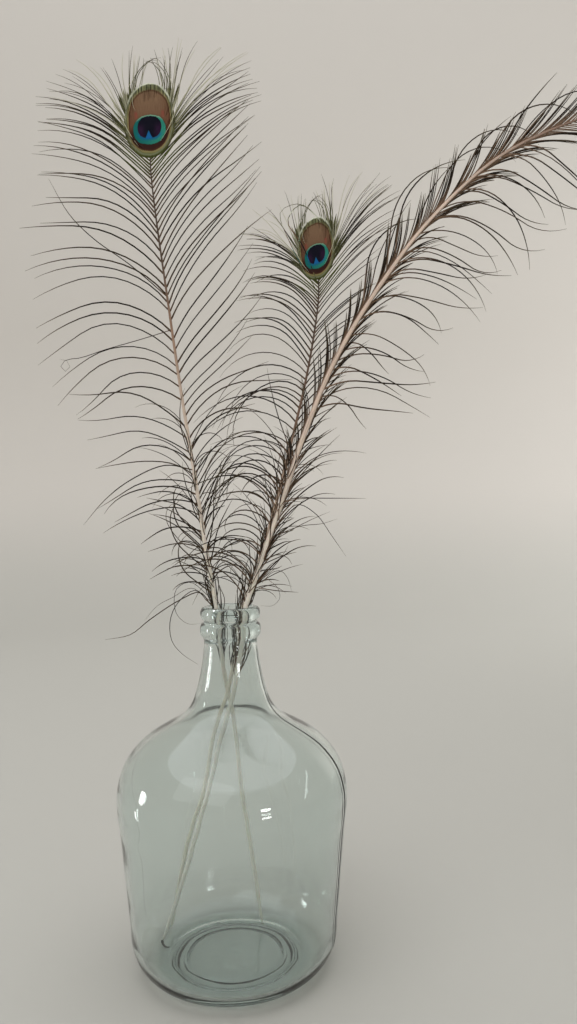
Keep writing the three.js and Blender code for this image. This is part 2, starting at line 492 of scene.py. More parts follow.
@dataclass
class Demijohn:
    """The glass jar: a spun wall with a knurled foot, two rim beads and a mould seam."""

    name: str = "demijohn"
    nodes: tuple[str, ...] = ("vase_foot", "vase_heel", "vase_side", "vase_neck")
    steps: int = 168
    weld: float = 0.01
    smooth_angle: float = 50.0
    seam_azimuth: float = 75.0
    seam_half_width: float = 0.6
    seam_lifts: tuple[float, float] = (0.35, 0.08)
    seam_range: tuple[float, float] = (26.0, 344.0)
    heel_top: float = 45.0
    skin_depth: float = 1.5
    knurl: tuple[float, float] = (62.7, 68.2)
    knurl_inset: float = 0.55
    knurl_height: float = 0.55
    knurl_normal: float = -0.9
    wave: float = 0.09
    wave_length: float = 38.0
    wave_rise: float = 0.6
    wave_range: tuple[float, float] = (50.0, 270.0)
    mouth_height: float = 389.0
    mouth_radius: float = 24.0
    way_in: float = 21.0
    barb_gap: float = 1.4
    rim_clearance: float = 34.8
    finish: GlassFinish = field(default_factory=GlassFinish)
    foot: Sequence[Row] = (
        (0, 2.4), (5, 2.2), (10, 2.6), (18, 3.2), (34, 3.6), (47, 3.6), (51, 3.2), (53, 1.6),
        (54.5, 1.2), (56, 1.7), (58, 2.6), (60.8, 1.8), (62.7, 0.6), (65.4, 0.55), (68.2, 0.6),
        (70, 1.5), (73, 1.1), (77, 0.5),
    )
    heel: Sequence[Row] = (
        (84.3, 0.95), (90.3, 3.2), (97.2, 7.6), (103.4, 14.1), (108.2, 22.2), (111.2, 31.6),
        (112.1, 41),
    )
    side: Sequence[Row] = (
        (112.5, 50), (114.5, 70), (116.3, 91), (118.2, 111), (120, 131), (121.7, 149),
        (122.7, 157), (123.7, 164), (124.5, 171), (124.9, 178), (125, 184),
    )
    shoulder: Sequence[Row] = (
        (124.6, 193), (123.4, 200), (121.3, 208), (118.4, 216), (114.3, 223.4), (109.5, 230),
        (98.5, 241.5), (84.5, 251), (70, 259), (56, 267), (47, 276), (41.5, 286), (37, 300),
        (33.3, 316), (30.6, 332),
    )
    rim: Sequence[Row] = (
        (29.2, 346), (29.1, 350), (30.2, 352.8), (32.4, 355.6), (33.3, 359.6), (33.2, 364),
        (32.2, 367.8), (29.8, 369.6), (29.3, 371.6), (31.2, 373.4), (32.6, 376.4), (32.9, 380),
        (32.2, 383.6), (30.4, 386), (28, 386.5), (25, 386.4), (23.2, 385.3), (22.2, 383),
    )
    inside: Sequence[Row] = (
        (22, 378), (22, 364), (22.4, 356), (24.2, 349), (25.3, 343), (26.4, 332), (28.8, 317),
        (32.2, 301), (36, 289), (39.2, 280), (44, 272), (52, 264.6), (66, 256), (80, 247.8),
        (94.6, 238), (105.6, 227), (114.2, 214), (118.8, 199.6), (120.4, 184), (119.9, 172),
        (118.4, 158), (115.4, 131), (111.8, 91), (108, 52), (107.2, 41), (105.6, 30),
        (101.6, 21.2), (95.4, 14.2), (87.6, 9.8), (77, 7.6), (60, 7.2), (50, 7.4), (34, 7.6),
        (16, 7.8), (9, 6.9), (0, 6.4),
    )
    rim_outer_rows: int = 13
    inside_wall_rows: int = 24

    def outline(self, section: Section) -> np.ndarray:
        """Smooth one side of the section.

        Args:
            section: the side of the wall.

        Returns:
            Its points, out from the axis and up to the rim, or back from the rim to the axis.
        """
        if section is Section.OUTSIDE:
            low = [(r, 0.0, z) for r, z in self.foot]
            high = [(r, 0.0, z) for r, z in (*self.heel, *self.side, *self.shoulder, *self.rim)]
            line = np.vstack([np.array(low[:-1], float), smooth_line([low[-1], *high], 2)])
        else:
            line = smooth_line([(r, 0.0, z) for r, z in self.inside], 3)
        line[:, 0] = np.maximum(line[:, 0], 0.0)
        return line

    def radius_at(self, section: Section, height: float) -> float:
        """Look up the wall's radius.

        Args:
            section: the side of the wall.
            height: a height above the heel.

        Returns:
            The radius there.
        """
        rows = (*self.side, *self.shoulder, *self.rim[: self.rim_outer_rows])
        if section is Section.INSIDE:
            rows = self.inside[self.inside_wall_rows - 1 :: -1]
        return look_up([(z, r) for r, z in rows], height)

    def ripple(self, wall: bpy.types.Object) -> None:
        """Let the inside of the wall wander a little, as blown glass does.

        Args:
            wall: the spun wall.
        """
        low, high = self.wave_range
        for point in wall.data.vertices:
            radius = math.hypot(point.co.x, point.co.y) / MM
            height = point.co.z / MM
            if not low <= height <= high or radius < 1:
                continue
            if radius > self.radius_at(Section.OUTSIDE, height) - self.skin_depth:
                continue
            place = Vector((point.co.x, point.co.y, self.wave_rise * point.co.z))
            drift = noise.noise(place / (self.wave_length * MM))
            point.co.xy *= 1 + drift * self.wave / radius

    def roughen_foot(self, wall: bpy.types.Object) -> None:
        """Raise a small stipple from every face of the foot's two bearing rings.

        Args:
            wall: the spun wall.
        """
        low, high = (radius * MM for radius in self.knurl)

        def bears(middle: Vector, normal: Vector) -> bool:
            """Whether a face looks down from one of the rings."""
            level = normal.z < self.knurl_normal and middle.z < MM
            return level and low < math.hypot(middle.x, middle.y) < high

        select(wall, Element.FACE, bears)
        bpy.ops.mesh.inset(
            thickness=self.knurl_inset * MM, depth=self.knurl_height * MM, use_individual=True
        )
        bpy.ops.object.mode_set(mode="OBJECT")

    def on_seam(self, point: Vector, across: Vector, sign: int) -> bool:
        """Tell whether a point is on the seam's middle line, on the outside of one half.

        Args:
            point: the point.
            across: the direction across the seam.
            sign: 1 for the half towards +X, and -1 for the other.

        Returns:
            Whether it is.
        """
        low, high = (height * MM for height in self.seam_range)
        if abs(point.dot(across)) > self.weld * MM or not low < point.z < high:
            return False
        skin = (self.radius_at(Section.OUTSIDE, point.z / MM) - self.skin_depth) * MM
        outside = point.z < self.heel_top * MM or math.hypot(point.x, point.y) > skin
        return outside and point.x * sign > 0

    def raise_seam(self, wall: bpy.types.Object) -> None:
        """Cut three lines down both sides and lift the middle one into a thin mould seam.

        Args:
            wall: the spun wall.
        """
        turn = math.radians(self.seam_azimuth)
        across = Vector((math.cos(turn), math.sin(turn), 0))
        for offset in (-self.seam_half_width, 0.0, self.seam_half_width):
            select(wall, Element.FACE, lambda middle, normal: True)
            bpy.ops.mesh.bisect(plane_co=across * (offset * MM), plane_no=across)
        for sign, lift in zip((1, -1), self.seam_lifts):
            select(wall, Element.POINT, lambda point: self.on_seam(point, across, sign))
            bpy.ops.transform.shrink_fatten(value=lift * MM)
            bpy.ops.object.mode_set(mode="OBJECT")

    def keep_clear(self, path: np.ndarray) -> np.ndarray:
        """Keep a barb inside the neck while it is in it, and off the glass once it is out.

        Args:
            path: the barb's points.

        Returns:
            The points, moved where the glass is in their way.
        """
        moved = path.copy()
        inside = path[0, 2] < self.mouth_height and np.hypot(*path[0, :2]) < self.mouth_radius
        for point in moved:
            radius = float(np.hypot(point[0], point[1]))
            if point[2] > self.mouth_height:
                inside = radius < self.way_in
            elif inside:
                limit = self.radius_at(Section.INSIDE, point[2]) - self.barb_gap
                if radius > limit:
                    point[:2] *= limit / radius
            else:
                limit = self.radius_at(Section.OUTSIDE, point[2]) + self.barb_gap
                limit = max(limit, self.rim_clearance)
                if radius < limit:
                    point[:2] *= limit / max(radius, 1.0)
        return moved

    def make(self) -> None:
        """Build, dress and report the demijohn."""
        line = np.vstack([self.outline(section) for section in Section])
        wall = spin(self.name, line, self.steps, self.weld * MM, False)
        self.ripple(wall)
        self.roughen_foot(wall)
        self.raise_seam(wall)
        make_active(wall)
        bpy.ops.object.shade_smooth_by_angle(angle=math.radians(self.smooth_angle))
        wall.data.materials.append(self.finish.make())
        report(wall, GLASS_SLOT, *self.nodes)


# ---- feather finishes ----


@dataclass(frozen=True)
class EyePlace:
    """A place in an eye, in millimetres from its middle, and the noises that fray its rings."""

    tree: Tree
    x: Number
    y: Number
    fine: Number
    coarse: Number
    stripes: Number


@dataclass(frozen=True)
class EyePattern:
    """The rings of the eye: their middles and half sizes in millimetres, and their colours."""

    bronze: tuple[float, float] = (22.3, 30.8)
    pale_arc: tuple[float, float, float] = (1.6, 25.4, 36.4)
    crescent: tuple[float, float, float] = (-11.2, 20.4, 18.8)
    teal: tuple[float, float, float] = (-9.4, 17.4, 14.8)
    heart: tuple[float, float, float] = (-6.9, 12.7, 11.2)
    wedge_tip: float = -10.4
    olive_reach: tuple[float, float] = (1.3, 3.8)
    olives: tuple[Colour, Colour] = (srgb(62, 64, 38), srgb(122, 124, 82))
    low_olive: Colour = srgb(88, 98, 44)
    bands: tuple[Colour, Colour] = (srgb(44, 46, 32), srgb(132, 134, 96))
    pale_rim: Colour = srgb(222, 226, 204)
    gold: Colour = srgb(152, 138, 96)
    bronzes: tuple[Colour, Colour] = (srgb(88, 46, 34), srgb(128, 101, 78))
    bronze_flank: Colour = srgb(98, 60, 40)
    bronze_grain: tuple[Colour, Colour] = (srgb(84, 60, 46), srgb(158, 132, 104))
    bronze_line: Colour = srgb(66, 38, 22)
    red_glow: Colour = srgb(146, 66, 58)
    dusk: Colour = srgb(50, 26, 22)
    seas: tuple[Colour, Colour] = (srgb(16, 104, 100), srgb(46, 136, 118))
    deep_sea: Colour = srgb(14, 92, 142)
    sea_grain: Colour = srgb(16, 84, 96)
    sea_edge: Colour = srgb(34, 48, 40)
    sea_glint: Colour = srgb(140, 176, 146)
    nights: tuple[Colour, Colour] = (srgb(7, 7, 26), srgb(40, 16, 48))
    wedge_blue: Colour = srgb(20, 98, 160)

    @staticmethod
    def oval(x: Number, y: Number, middle: float, wide: float, tall: float, power: float) -> Number:
        """A measure that is 1 on an oval's rim, less inside it and more outside it."""
        return abs(x / wide) ** power + abs((y - middle) / tall) ** power

    def paint_fringe(
        self, at: EyePlace, around: bpy.types.NodeSocket, pale: Number
    ) -> bpy.types.NodeSocket:
        """Paint the olive barbs outside the eye, their dark and pale bands and the pale rim.

        Args:
            at: the place in the eye.
            around: the colour of the barbs far from the eye.
            pale: 1 on the pale barbs beside the eye, 0 on the others.

        Returns:
            The colour.
        """
        arc = self.oval(at.x, at.y, *self.pale_arc, 2.1)
        olive = at.tree.mix(at.fine.step(-0.2, 0.25), *self.olives)
        olive = at.tree.mix(at.y.step(-22.0, -34.0) * 0.7, olive, self.low_olive)
        near = arc.step(self.olive_reach[1], self.olive_reach[0])
        colour = at.tree.mix(near * (0.9 - pale * 0.45), around, olive)
        band = at.tree.mix(at.stripes.step(0.42, 0.58), *self.bands)
        band = at.tree.mix(at.y.step(12.0, 26.0), olive, band)
        colour = at.tree.mix(arc.step(1.03, 0.97), colour, band)
        rim = arc.step(0.9, 0.97) * arc.step(1.1, 1.03)
        rim = rim * (at.y.step(14.0, 26.0) * 0.85 + 0.15) * (at.coarse.step(-0.3, 0.0) * 0.3 + 0.7)
        return at.tree.mix(rim, colour, self.pale_rim)

    def paint_bronze(self, at: EyePlace, colour: bpy.types.NodeSocket) -> bpy.types.NodeSocket:
        """Paint the gold ring and the bronze oval inside it.

        Args:
            at: the place in the eye.
            colour: the colour to paint over.

        Returns:
            The colour.
        """
        bronze = self.oval(at.x, at.y, 0.0, *self.bronze, 2.3)
        gold = bronze.step(1.22, 1.1) * bronze.step(0.96, 1.04) * at.y.step(34.0, 22.0)
        colour = at.tree.mix(gold * 0.7, colour, self.gold)
        shades = at.tree.mix(at.y.step(-26.0, 22.0), *self.bronzes)
        shades = at.tree.mix(abs(at.x).step(8.0, 22.0) * 0.5, shades, self.bronze_flank)
        shades = at.tree.mix(at.fine.step(-0.05, 0.3) * 0.4, shades, self.bronze_grain[0])
        shades = at.tree.mix(at.fine.step(-0.05, -0.3) * 0.35, shades, self.bronze_grain[1])
        colour = at.tree.mix(bronze.step(1.05, 0.97), colour, shades)
        line = bronze.step(0.84, 0.92) * bronze.step(1.06, 0.99)
        colour = at.tree.mix(line * 0.6, colour, self.bronze_line)
        glow = abs(abs(at.x) - 14.5).step(2.6, 0.6) * abs(at.y - 6.0).step(5.0, 1.5)
        return at.tree.mix(glow * 0.55, colour, self.red_glow)

    def paint_heart(self, at: EyePlace, colour: bpy.types.NodeSocket) -> bpy.types.NodeSocket:
        """Paint the dark crescent, the teal oval and the night-blue heart with its wedge.

        Args:
            at: the place in the eye.
            colour: the colour to paint over.

        Returns:
            The colour.
        """
        crescent = self.oval(at.x, at.y, *self.crescent, 2.0)
        dusk = crescent.step(1.12, 0.86) * at.y.step(-3.0, -15.0)
        colour = at.tree.mix(dusk * 0.92, colour, self.dusk)

        teal = self.oval(at.x, at.y, *self.teal, 2.2)
        heart = self.oval(at.x, at.y, *self.heart, 2.4)
        sea = at.tree.mix(at.x.step(-14.0, 16.0), *self.seas)
        deep = heart.step(1.9, 1.05) * at.y.step(-9.0, -17.0)
        sea = at.tree.mix(deep * 0.8, sea, self.deep_sea)
        sea = at.tree.mix(at.fine.step(0.0, 0.3) * 0.3, sea, self.sea_grain)
        colour = at.tree.mix(teal.step(1.06, 0.98), colour, sea)
        edge = teal.step(0.98, 1.03) * teal.step(1.16, 1.07)
        colour = at.tree.mix(edge * 0.5, colour, self.sea_edge)
        glint = teal.step(0.84, 0.92) * teal.step(1.08, 1.0) * at.y.step(-2.0, 4.0)
        colour = at.tree.mix(glint * 0.75, colour, self.sea_glint)

        wedge = (abs(at.x + 0.9) - (self.wedge_tip - at.y) * 0.46).step(0.5, -0.4)
        night = at.tree.mix(abs(at.x).step(3.0, 10.0) * at.y.step(0.0, -9.0), *self.nights)
        colour = at.tree.mix(heart.step(1.05, 0.96) * (1 - wedge), colour, night)
        return at.tree.mix(heart.step(1.1, 0.98) * wedge, colour, self.wedge_blue)

    def paint(self, tree: Tree, around: bpy.types.NodeSocket, pale: Number) -> bpy.types.NodeSocket:
        """Paint the eye over the colour around it.

        Args:
            tree: the material's tree.
            around: the colour of the barbs far from the eye.
            pale: 1 on the pale barbs beside the eye, 0 on the others.

        Returns:
            The colour.
        """
        u, v = tree.uv(UV_EYE)
        fine = tree.noise(tree.vector(u * 70.0, v * 6.0), 1.0, 3.0) - 0.5
        coarse = tree.noise(tree.vector(u * 7.0, v * 5.0, 3.0), 1.0, 2.0) - 0.5
        at = EyePlace(
            tree=tree,
            x=u * EYE_UNIT + coarse * 1.6,
            y=v * EYE_UNIT + fine * 1.8 + coarse * 1.4,
            fine=fine,
            coarse=coarse,
            stripes=tree.noise(tree.vector(u * 34.0, 5.0), 1.0, 0.0),
        )
        colour = self.paint_fringe(at, around, pale)
        return self.paint_heart(at, self.paint_bronze(at, colour))


@dataclass(frozen=True)
class BarbFinish:
    """Dark brown barbs that turn olive at the eye, where they carry its rings."""

    name: str
    root: Colour
    root_reach: float
    dark: Colour = srgb(42, 34, 27)
    dark_reach: float = 0.6
    tip: Colour = srgb(96, 86, 62)
    grain_scale: tuple[float, float] = (90.0, 400.0)
    light: Colour = srgb(92, 76, 58)
    light_shade: tuple[float, float] = (0.35, 1.0)
    light_share: float = 0.5
    soot: Colour = srgb(20, 16, 14)
    soot_grain: tuple[float, float] = (0.45, 0.75)
    soot_share: float = 0.35
    pale: Colour = srgb(206, 204, 178)
    pale_shade: tuple[float, float] = (1.2, 1.8)
    pale_share: float = 0.85
    whole_pale_shade: tuple[float, float] = (2.1, 2.3)
    back_edge: tuple[float, float] = (0.52, 0.64)
    back_share: float = 0.85
    roughness: tuple[float, float] = (0.4, 0.3)
    specular: float = 0.12
    bump: tuple[float, float] = (0.4, 0.0004)
    pattern: EyePattern = EyePattern()

    def make(self) -> bpy.types.Material:
        """Make the material, which reads the strands' own coordinates.

        Returns:
            The material.
        """
        tree = Tree(self.name)
        share, shade = tree.uv(UV_STRAND)
        along, across = self.grain_scale
        grain = tree.noise(tree.vector(share * along, shade * across), 1.0, 2.0)
        places = (0.0, self.root_reach, self.dark_reach, 1.0)
        colour = tree.ramp(share, tuple(zip(places, (self.root, self.dark, self.dark, self.tip))))
        colour = tree.mix(shade.step(*self.light_shade) * self.light_share, colour, self.light)
        colour = tree.mix(grain.step(*self.soot_grain) * self.soot_share, colour, self.soot)
        pale = shade.step(*self.pale_shade)
        colour = tree.mix(pale * self.pale_share, colour, self.pale)
        painted = self.pattern.paint(tree, colour, pale)
        behind = tree.uv(UV_BACK)[0].step(*self.back_edge)
        colour = tree.mix(behind * self.back_share, painted, colour)
        lowest, spread = self.roughness
        return tree.finish(
            Base_Color=tree.mix(shade.step(*self.whole_pale_shade), colour, self.pale),
            Roughness=grain * spread + lowest,
            Normal=tree.bump(grain, *self.bump),
            Specular_IOR_Level=self.specular,
        )


@dataclass(frozen=True)
class ShaftFinish:
    """A pale horny shaft: chalky in the jar, pinkish above it, browner towards the eye."""

    name: str
    stops: Sequence[tuple[float, Colour]]
    brown_from: tuple[float, float]
    streak: Colour = srgb(120, 92, 76)
    streak_scale: tuple[float, float] = (30.0, 9.0)
    streak_noise: tuple[float, float] = (0.48, 0.7)
    streak_share: float = 0.44
    flank: Colour = srgb(126, 98, 82)
    flank_turn: tuple[float, float] = (0.3, 0.85)
    flank_share: float = 0.55
    fleck: Colour = srgb(150, 128, 108)
    fleck_scale: tuple[float, float] = (260.0, 5.0)
    fleck_noise: tuple[float, float] = (0.55, 0.75)
    fleck_share: float = 0.25
    fleck_height: float = 0.4
    bump: tuple[float, float] = (0.35, 0.0005)
    roughness: tuple[float, float] = (0.3, 0.25)
    subsurface: float = 0.08
    subsurface_radius: Point = (0.004, 0.002, 0.001)

    def make(self) -> bpy.types.Material:
        """Make the material, which reads the distance along the shaft and the way round it.

        Returns:
            The material.
        """
        tree = Tree(self.name)
        share, turn = tree.uv(UV_STRAND)
        along, round_it = self.streak_scale
        streak = tree.noise(tree.vector(share * along, turn * round_it), 1.0, 3.0)
        along, round_it = self.fleck_scale
        fleck = tree.noise(tree.vector(share * along, turn * round_it, 4.0), 1.0, 2.0)
        above = share.step(*self.brown_from)
        streaks = streak.step(*self.streak_noise) * above * self.streak_share
        colour = tree.mix(streaks, tree.ramp(share, self.stops), self.streak)
        flank = abs(turn * 2.0 - 1.0).step(*self.flank_turn)
        colour = tree.mix(flank * above * self.flank_share, colour, self.flank)
        flecks = fleck.step(*self.fleck_noise) * self.fleck_share
        lowest, spread = self.roughness
        return tree.finish(
            Base_Color=tree.mix(flecks, colour, self.fleck),
            Roughness=streak * spread + lowest,
            Normal=tree.bump(streak + fleck * self.fleck_height, *self.bump),
            Subsurface_Weight=self.subsurface,
            Subsurface_Radius=self.subsurface_radius,
        )


@dataclass(frozen=True)
class DriedTipFinish:
    """The dark dried skin at the end of a quill."""

    name: str = "dried_quill_tip"
    dark: Colour = srgb(30, 26, 28)
    light: Colour = srgb(74, 60, 52)
    grain_scale: float = 900.0
    light_grain: tuple[float, float] = (0.35, 0.7)
    roughness: float = 0.7
    bump: tuple[float, float] = (0.5, 0.0005)

    def make(self) -> bpy.types.Material:
        """Make the material.

        Returns:
            The material.
        """
        tree = Tree(self.name)
        grain = tree.noise(tree.object_place(), self.grain_scale, 3.0)
        return tree.finish(
            Base_Color=tree.mix(grain.step(*self.light_grain), self.dark, self.light),
            Roughness=self.roughness,
            Normal=tree.bump(grain, *self.bump),
        )


# ---- feathers ----


class Side(Enum):
    """A side of a shaft, as its sign along the direction across the vane."""

    LEFT = -1
    RIGHT = 1


@dataclass
class Strand:
    """One thread of a vane: its points, the way its flat side faces, and its sizes."""

    path: np.ndarray
    facing: np.ndarray
    width: np.ndarray
    depth: np.ndarray
    shade: float


@dataclass
class Spot:
    """A place on a shaft: its point, and the directions along the shaft, across and out."""

    point: np.ndarray
    along: np.ndarray
    across: np.ndarray
    out: np.ndarray


class Weaver:
    """Gathers strands and joins them into one mesh."""

    def __init__(self, eye: Spot, scale: float) -> None:
        """Start with no strands.

        Args:
            eye: the place of the eye, which the strands' eye coordinates start from.
            scale: the eye's scale.
        """
        self.eye = eye
        self.scale = scale
        self.points: list[np.ndarray] = []
        self.faces: list[tuple[int, ...]] = []
        self.share: list[np.ndarray] = []
        self.back: list[np.ndarray] = []
        self.count = 0

    def add(self, strand: Strand, sides: int = 4) -> None:
        """Sweep an oval along a strand, and close both of its ends.

        Args:
            strand: the strand.
            sides: the number of points round the oval.
        """
        path = strand.path
        along = unit(np.gradient(path, axis=0))
        across = unit(np.cross(along, strand.facing))
        front = np.cross(across, along)
        turns = np.arange(sides) * math.tau / sides
        ring = (
            path[:, None]
            + across[:, None] * (np.cos(turns)[None, :, None] * strand.width[:, None, None] / 2)
            + front[:, None] * (np.sin(turns)[None, :, None] * strand.depth[:, None, None] / 2)
        )
        rows = len(path)
        start = self.count
        for row in range(rows - 1):
            for column in range(sides):
                after = (column + 1) % sides
                low, high = start + row * sides, start + (row + 1) * sides
                self.faces.append((low + column, low + after, high + after, high + column))
        self.faces.append(tuple(start + column for column in reversed(range(sides))))
        last = start + (rows - 1) * sides
        self.faces.append(tuple(last + column for column in range(sides)))
        self.points.append(ring.reshape(-1, 3))
        share = np.repeat(np.linspace(0, 1, rows), sides)
        self.share.append(np.column_stack([share, np.full(rows * sides, strand.shade)]))
        back = np.tile((1 - np.sin(turns)) / 2, rows)
        self.back.append(np.column_stack([back, np.zeros(rows * sides)]))
        self.count += rows * sides

    def weave(self, name: str) -> bpy.types.Object:
        """Make the mesh of all the strands.

        Args:
            name: the object's name.

        Returns:
            The object, with maps of the strands' lengths and shades, of the eye and of the back.
        """
        points = np.vstack(self.points)
        item = new_object(name, points, self.faces)
        loops = np.zeros(len(item.data.loops), int)
        item.data.loops.foreach_get("vertex_index", loops)
        offset = points - self.eye.point
        eye = np.column_stack([offset @ self.eye.across, offset @ self.eye.along])
        maps = {
            UV_STRAND: np.vstack(self.share),
            UV_EYE: eye / (self.scale * EYE_UNIT),
            UV_BACK: np.vstack(self.back),
        }
        for key, values in maps.items():
            layer = item.data.uv_layers.new(name=key)
            layer.data.foreach_set("uv", values[loops].ravel())
        return item


# How wide a barb is along its length: broad at its root, even, and thin at its tip.
TAPER_PLACES = (0, 0.05, 0.6, 0.85, 1)
TAPER_WIDTHS = (1.25, 1, 0.9, 0.55, 0.16)


def taper(width: float, count: int) -> np.ndarray:
    """A barb's widths at this many even places along it."""
    return width * np.interp(np.linspace(0, 1, count), TAPER_PLACES, TAPER_WIDTHS)


# Strands that lie over the eye, as (width, (across, up) points in millimetres from its middle):
# the pale ones beside it, and the dark ones that meet above it.
PALE_STRANDS = (
    (0.8, ((-38, 18), (-29, 2), (-21, -13), (-12, -26))),
    (0.8, ((32, 28), (29, 8), (21, -9), (12, -22))),
    (0.5, ((-14, 38), (-17.5, 26), (-17, 16), (-14.5, 10))),
    (0.5, ((-15, 44), (-22, 34), (-24.5, 18), (-25, 2))),
    (0.5, ((24, 40), (27, 24), (26, 6), (24, -10))),
)
DARK_STRANDS = (
    (0.9, ((-14, 34), (-11, 46), (-3, 56), (5, 61), (14, 62))),
    (0.7, ((-17, 30), (-14, 44), (-6, 55), (2, 60), (11, 59))),
    (0.7, ((-19, 28), (-17, 40), (-9, 52), (0, 58), (8, 62))),
    (0.8, ((18, 30), (14, 46), (8, 54), (2, 59), (-4, 60))),
    (0.7, ((22, 27), (19, 44), (12, 54), (6, 58), (-2, 58))),
    (0.6, ((25, 24), (22, 42), (16, 54), (10, 61), (3, 62))),
)
# Rows of barbs near any eye: [distance from the eye's middle, length, angles at the shaft, at a
# third, at two thirds and at the tip].
EYE_BARBS = (
    (-36, 135, 50, 46, 65, 85), (-31, 130, 50, 40, 50, 70), (-28, 124, 50, 34, 36, 54),
    (-25, 112, 52, 24, 18, 32), (-21, 102, 54, 18, 5, 10), (-16, 96, 55, 15, -4, 0),
    (-12, 88, 54, 14, -8, -8), (-8, 80, 48, 12, -12, -16), (-2, 66, 32, 6, -10, -20),
    (2, 60, 16, 2, -5, -12), (5, 56, 4, 0, -2, -6),
)
EYE_SPACING = ((-60, 4.6), (-44, 3.6), (-36, 1.6), (-33, 0.75), (5, 0.75))


# The habits of a feather's barbs. A pair of numbers is a range, and a lean's is a mean and a spread.


@dataclass(frozen=True)
class Curls:
    """Loose long barbs of one habit: how many, where, how long, and how they turn."""

    count: int
    span: tuple[float, float]
    length: tuple[float, float]
    turns: Sequence[tuple[float, float]]
    alike: float = 0.7
    jitter: tuple[float, float] = (0.1, 0.9)
    points: int = 18
    lean: tuple[float, float] = (4.0, 5.0)
    curl: float = 8.0

    def draw(self, chance: random.Random) -> Iterator[tuple[float, float, list[float]]]:
        """Draw the barbs.

        Args:
            chance: the seeded source of their differences.

        Yields:
            Each barb's distance along the shaft, its length and its four angles.
        """
        low, high = self.span
        for number in range(self.count):
            place = (number + chance.uniform(*self.jitter)) / self.count
            shared = chance.random()
            angles = [
                first + (last - first) * (self.alike * shared + (1 - self.alike) * chance.random())
                for first, last in self.turns
            ]
            yield low + (high - low) * place, chance.uniform(*self.length), angles


@dataclass(frozen=True)
class VaneHabit:
    """The ordered barbs, which stray less from their rows from the lowest to the calm ones."""

    points: int = 13
    stop: float = -33.0
    step: tuple[float, float] = (0.7, 1.3)
    calm: tuple[float, float] = (430.0, 660.0)
    loose: float = 2.5
    calmed: float = 1.7
    gaps: float = 0.04
    clump: float = 9.0
    clump_length: float = 15.0
    clump_spread: float = 4.0
    lengths: tuple[float, float] = (0.4, 1.3)
    eye_zone: tuple[float, float] = (-190.0, -90.0)
    eye_ragged: float = 0.04
    eye_cut: float = 0.22
    lean: float = 3.5
    curl: float = 7.0
    spreads: tuple[float, ...] = (2, 2.5, 4, 7)


@dataclass(frozen=True)
class BundleHabit:
    """How barbs cling together in bundles along the shaft."""

    loose: float = 0.4
    width: float = 0.8
    length_change: float = 0.55
    turn: float = 16.0
    pull: float = 0.72
    drift: float = 0.37
    drift_keys: tuple[float, float] = (0.3, 40.3)


@dataclass(frozen=True)
class WildHabit:
    """The thin curling barbs low on the shaft, which cross each other."""

    points: int = 16
    width: float = 0.68
    below: float = 12.0
    top: float = 560.0
    rise: tuple[float, float] = (400.0, 560.0)
    lengths: tuple[float, float] = (32.0, 70.0)
    growth: float = 45.0
    starts: tuple[float, float] = (-24.0, 46.0)
    bends: tuple[float, ...] = (0.0, 0.25, 0.62, 1.0)
    lean: float = 20.0
    crossing_lean: float = 14.0
    curl: float = 26.0


@dataclass(frozen=True)
class NeckHabit:
    """The crushed barbs inside the jar's neck."""

    count: int = 16
    points: int = 14
    width: float = 0.7
    span: tuple[float, float] = (312.0, 392.0)
    lengths: tuple[float, float] = (26.0, 62.0)
    starts: tuple[float, float] = (8.0, 26.0)
    turn_in: float = 8.0
    middles: tuple[float, float] = (-22.0, 14.0)
    tips: tuple[float, float] = (-30.0, 30.0)
    lean: float = 10.0
    curl: float = 16.0


@dataclass(frozen=True)
class FanHabit:
    """The close barbs that fan through the eye and the strands over them, at a scale of 1."""

    points: int = 17
    span: tuple[float, float] = (-34.0, 5.0)
    spacing: float = 0.75
    step: tuple[float, float] = (0.85, 1.15)
    ragged: float = 0.05
    frayed: tuple[float, float] = (-24.0, -32.0)
    spreads: tuple[tuple[float, float], ...] = ((0.8, 0.8), (1.2, 3.2), (5, 5), (9, 9))
    layers: int = 4
    layer_gap: float = 0.12
    lean: float = 0.4
    curl: float = 5.0
    cut_zone: tuple[float, float] = (-25.0, -3.0)
    cut_share: float = 0.55
    cut_heights: tuple[float, float] = (33.0, 38.0)
    fewest_points: int = 4
    cut_places: tuple[float, ...] = (0, 0.1, 0.9, 0.96, 0.98, 1)
    low_places: tuple[float, ...] = (0, 0.1, 0.3, 0.4, 0.9, 1)
    high_places: tuple[float, ...] = (0, 0.1, 0.5, 0.6, 0.9, 1)
    high_from: float = -27.0
    widths: tuple[float, ...] = (1.3, 2.1, 2.0, 0.75, 0.5, 0.15)
    depth: float = 0.32
    pale_share: float = 0.3
    pale_shade: float = 2.0
    shade: float = 0.7
    over_points: int = 16
    over_smoothing: int = 8
    over_rise: float = 1.9
    over_depth: float = 0.4
    over_shades: tuple[float, float] = (2.4, 0.5)


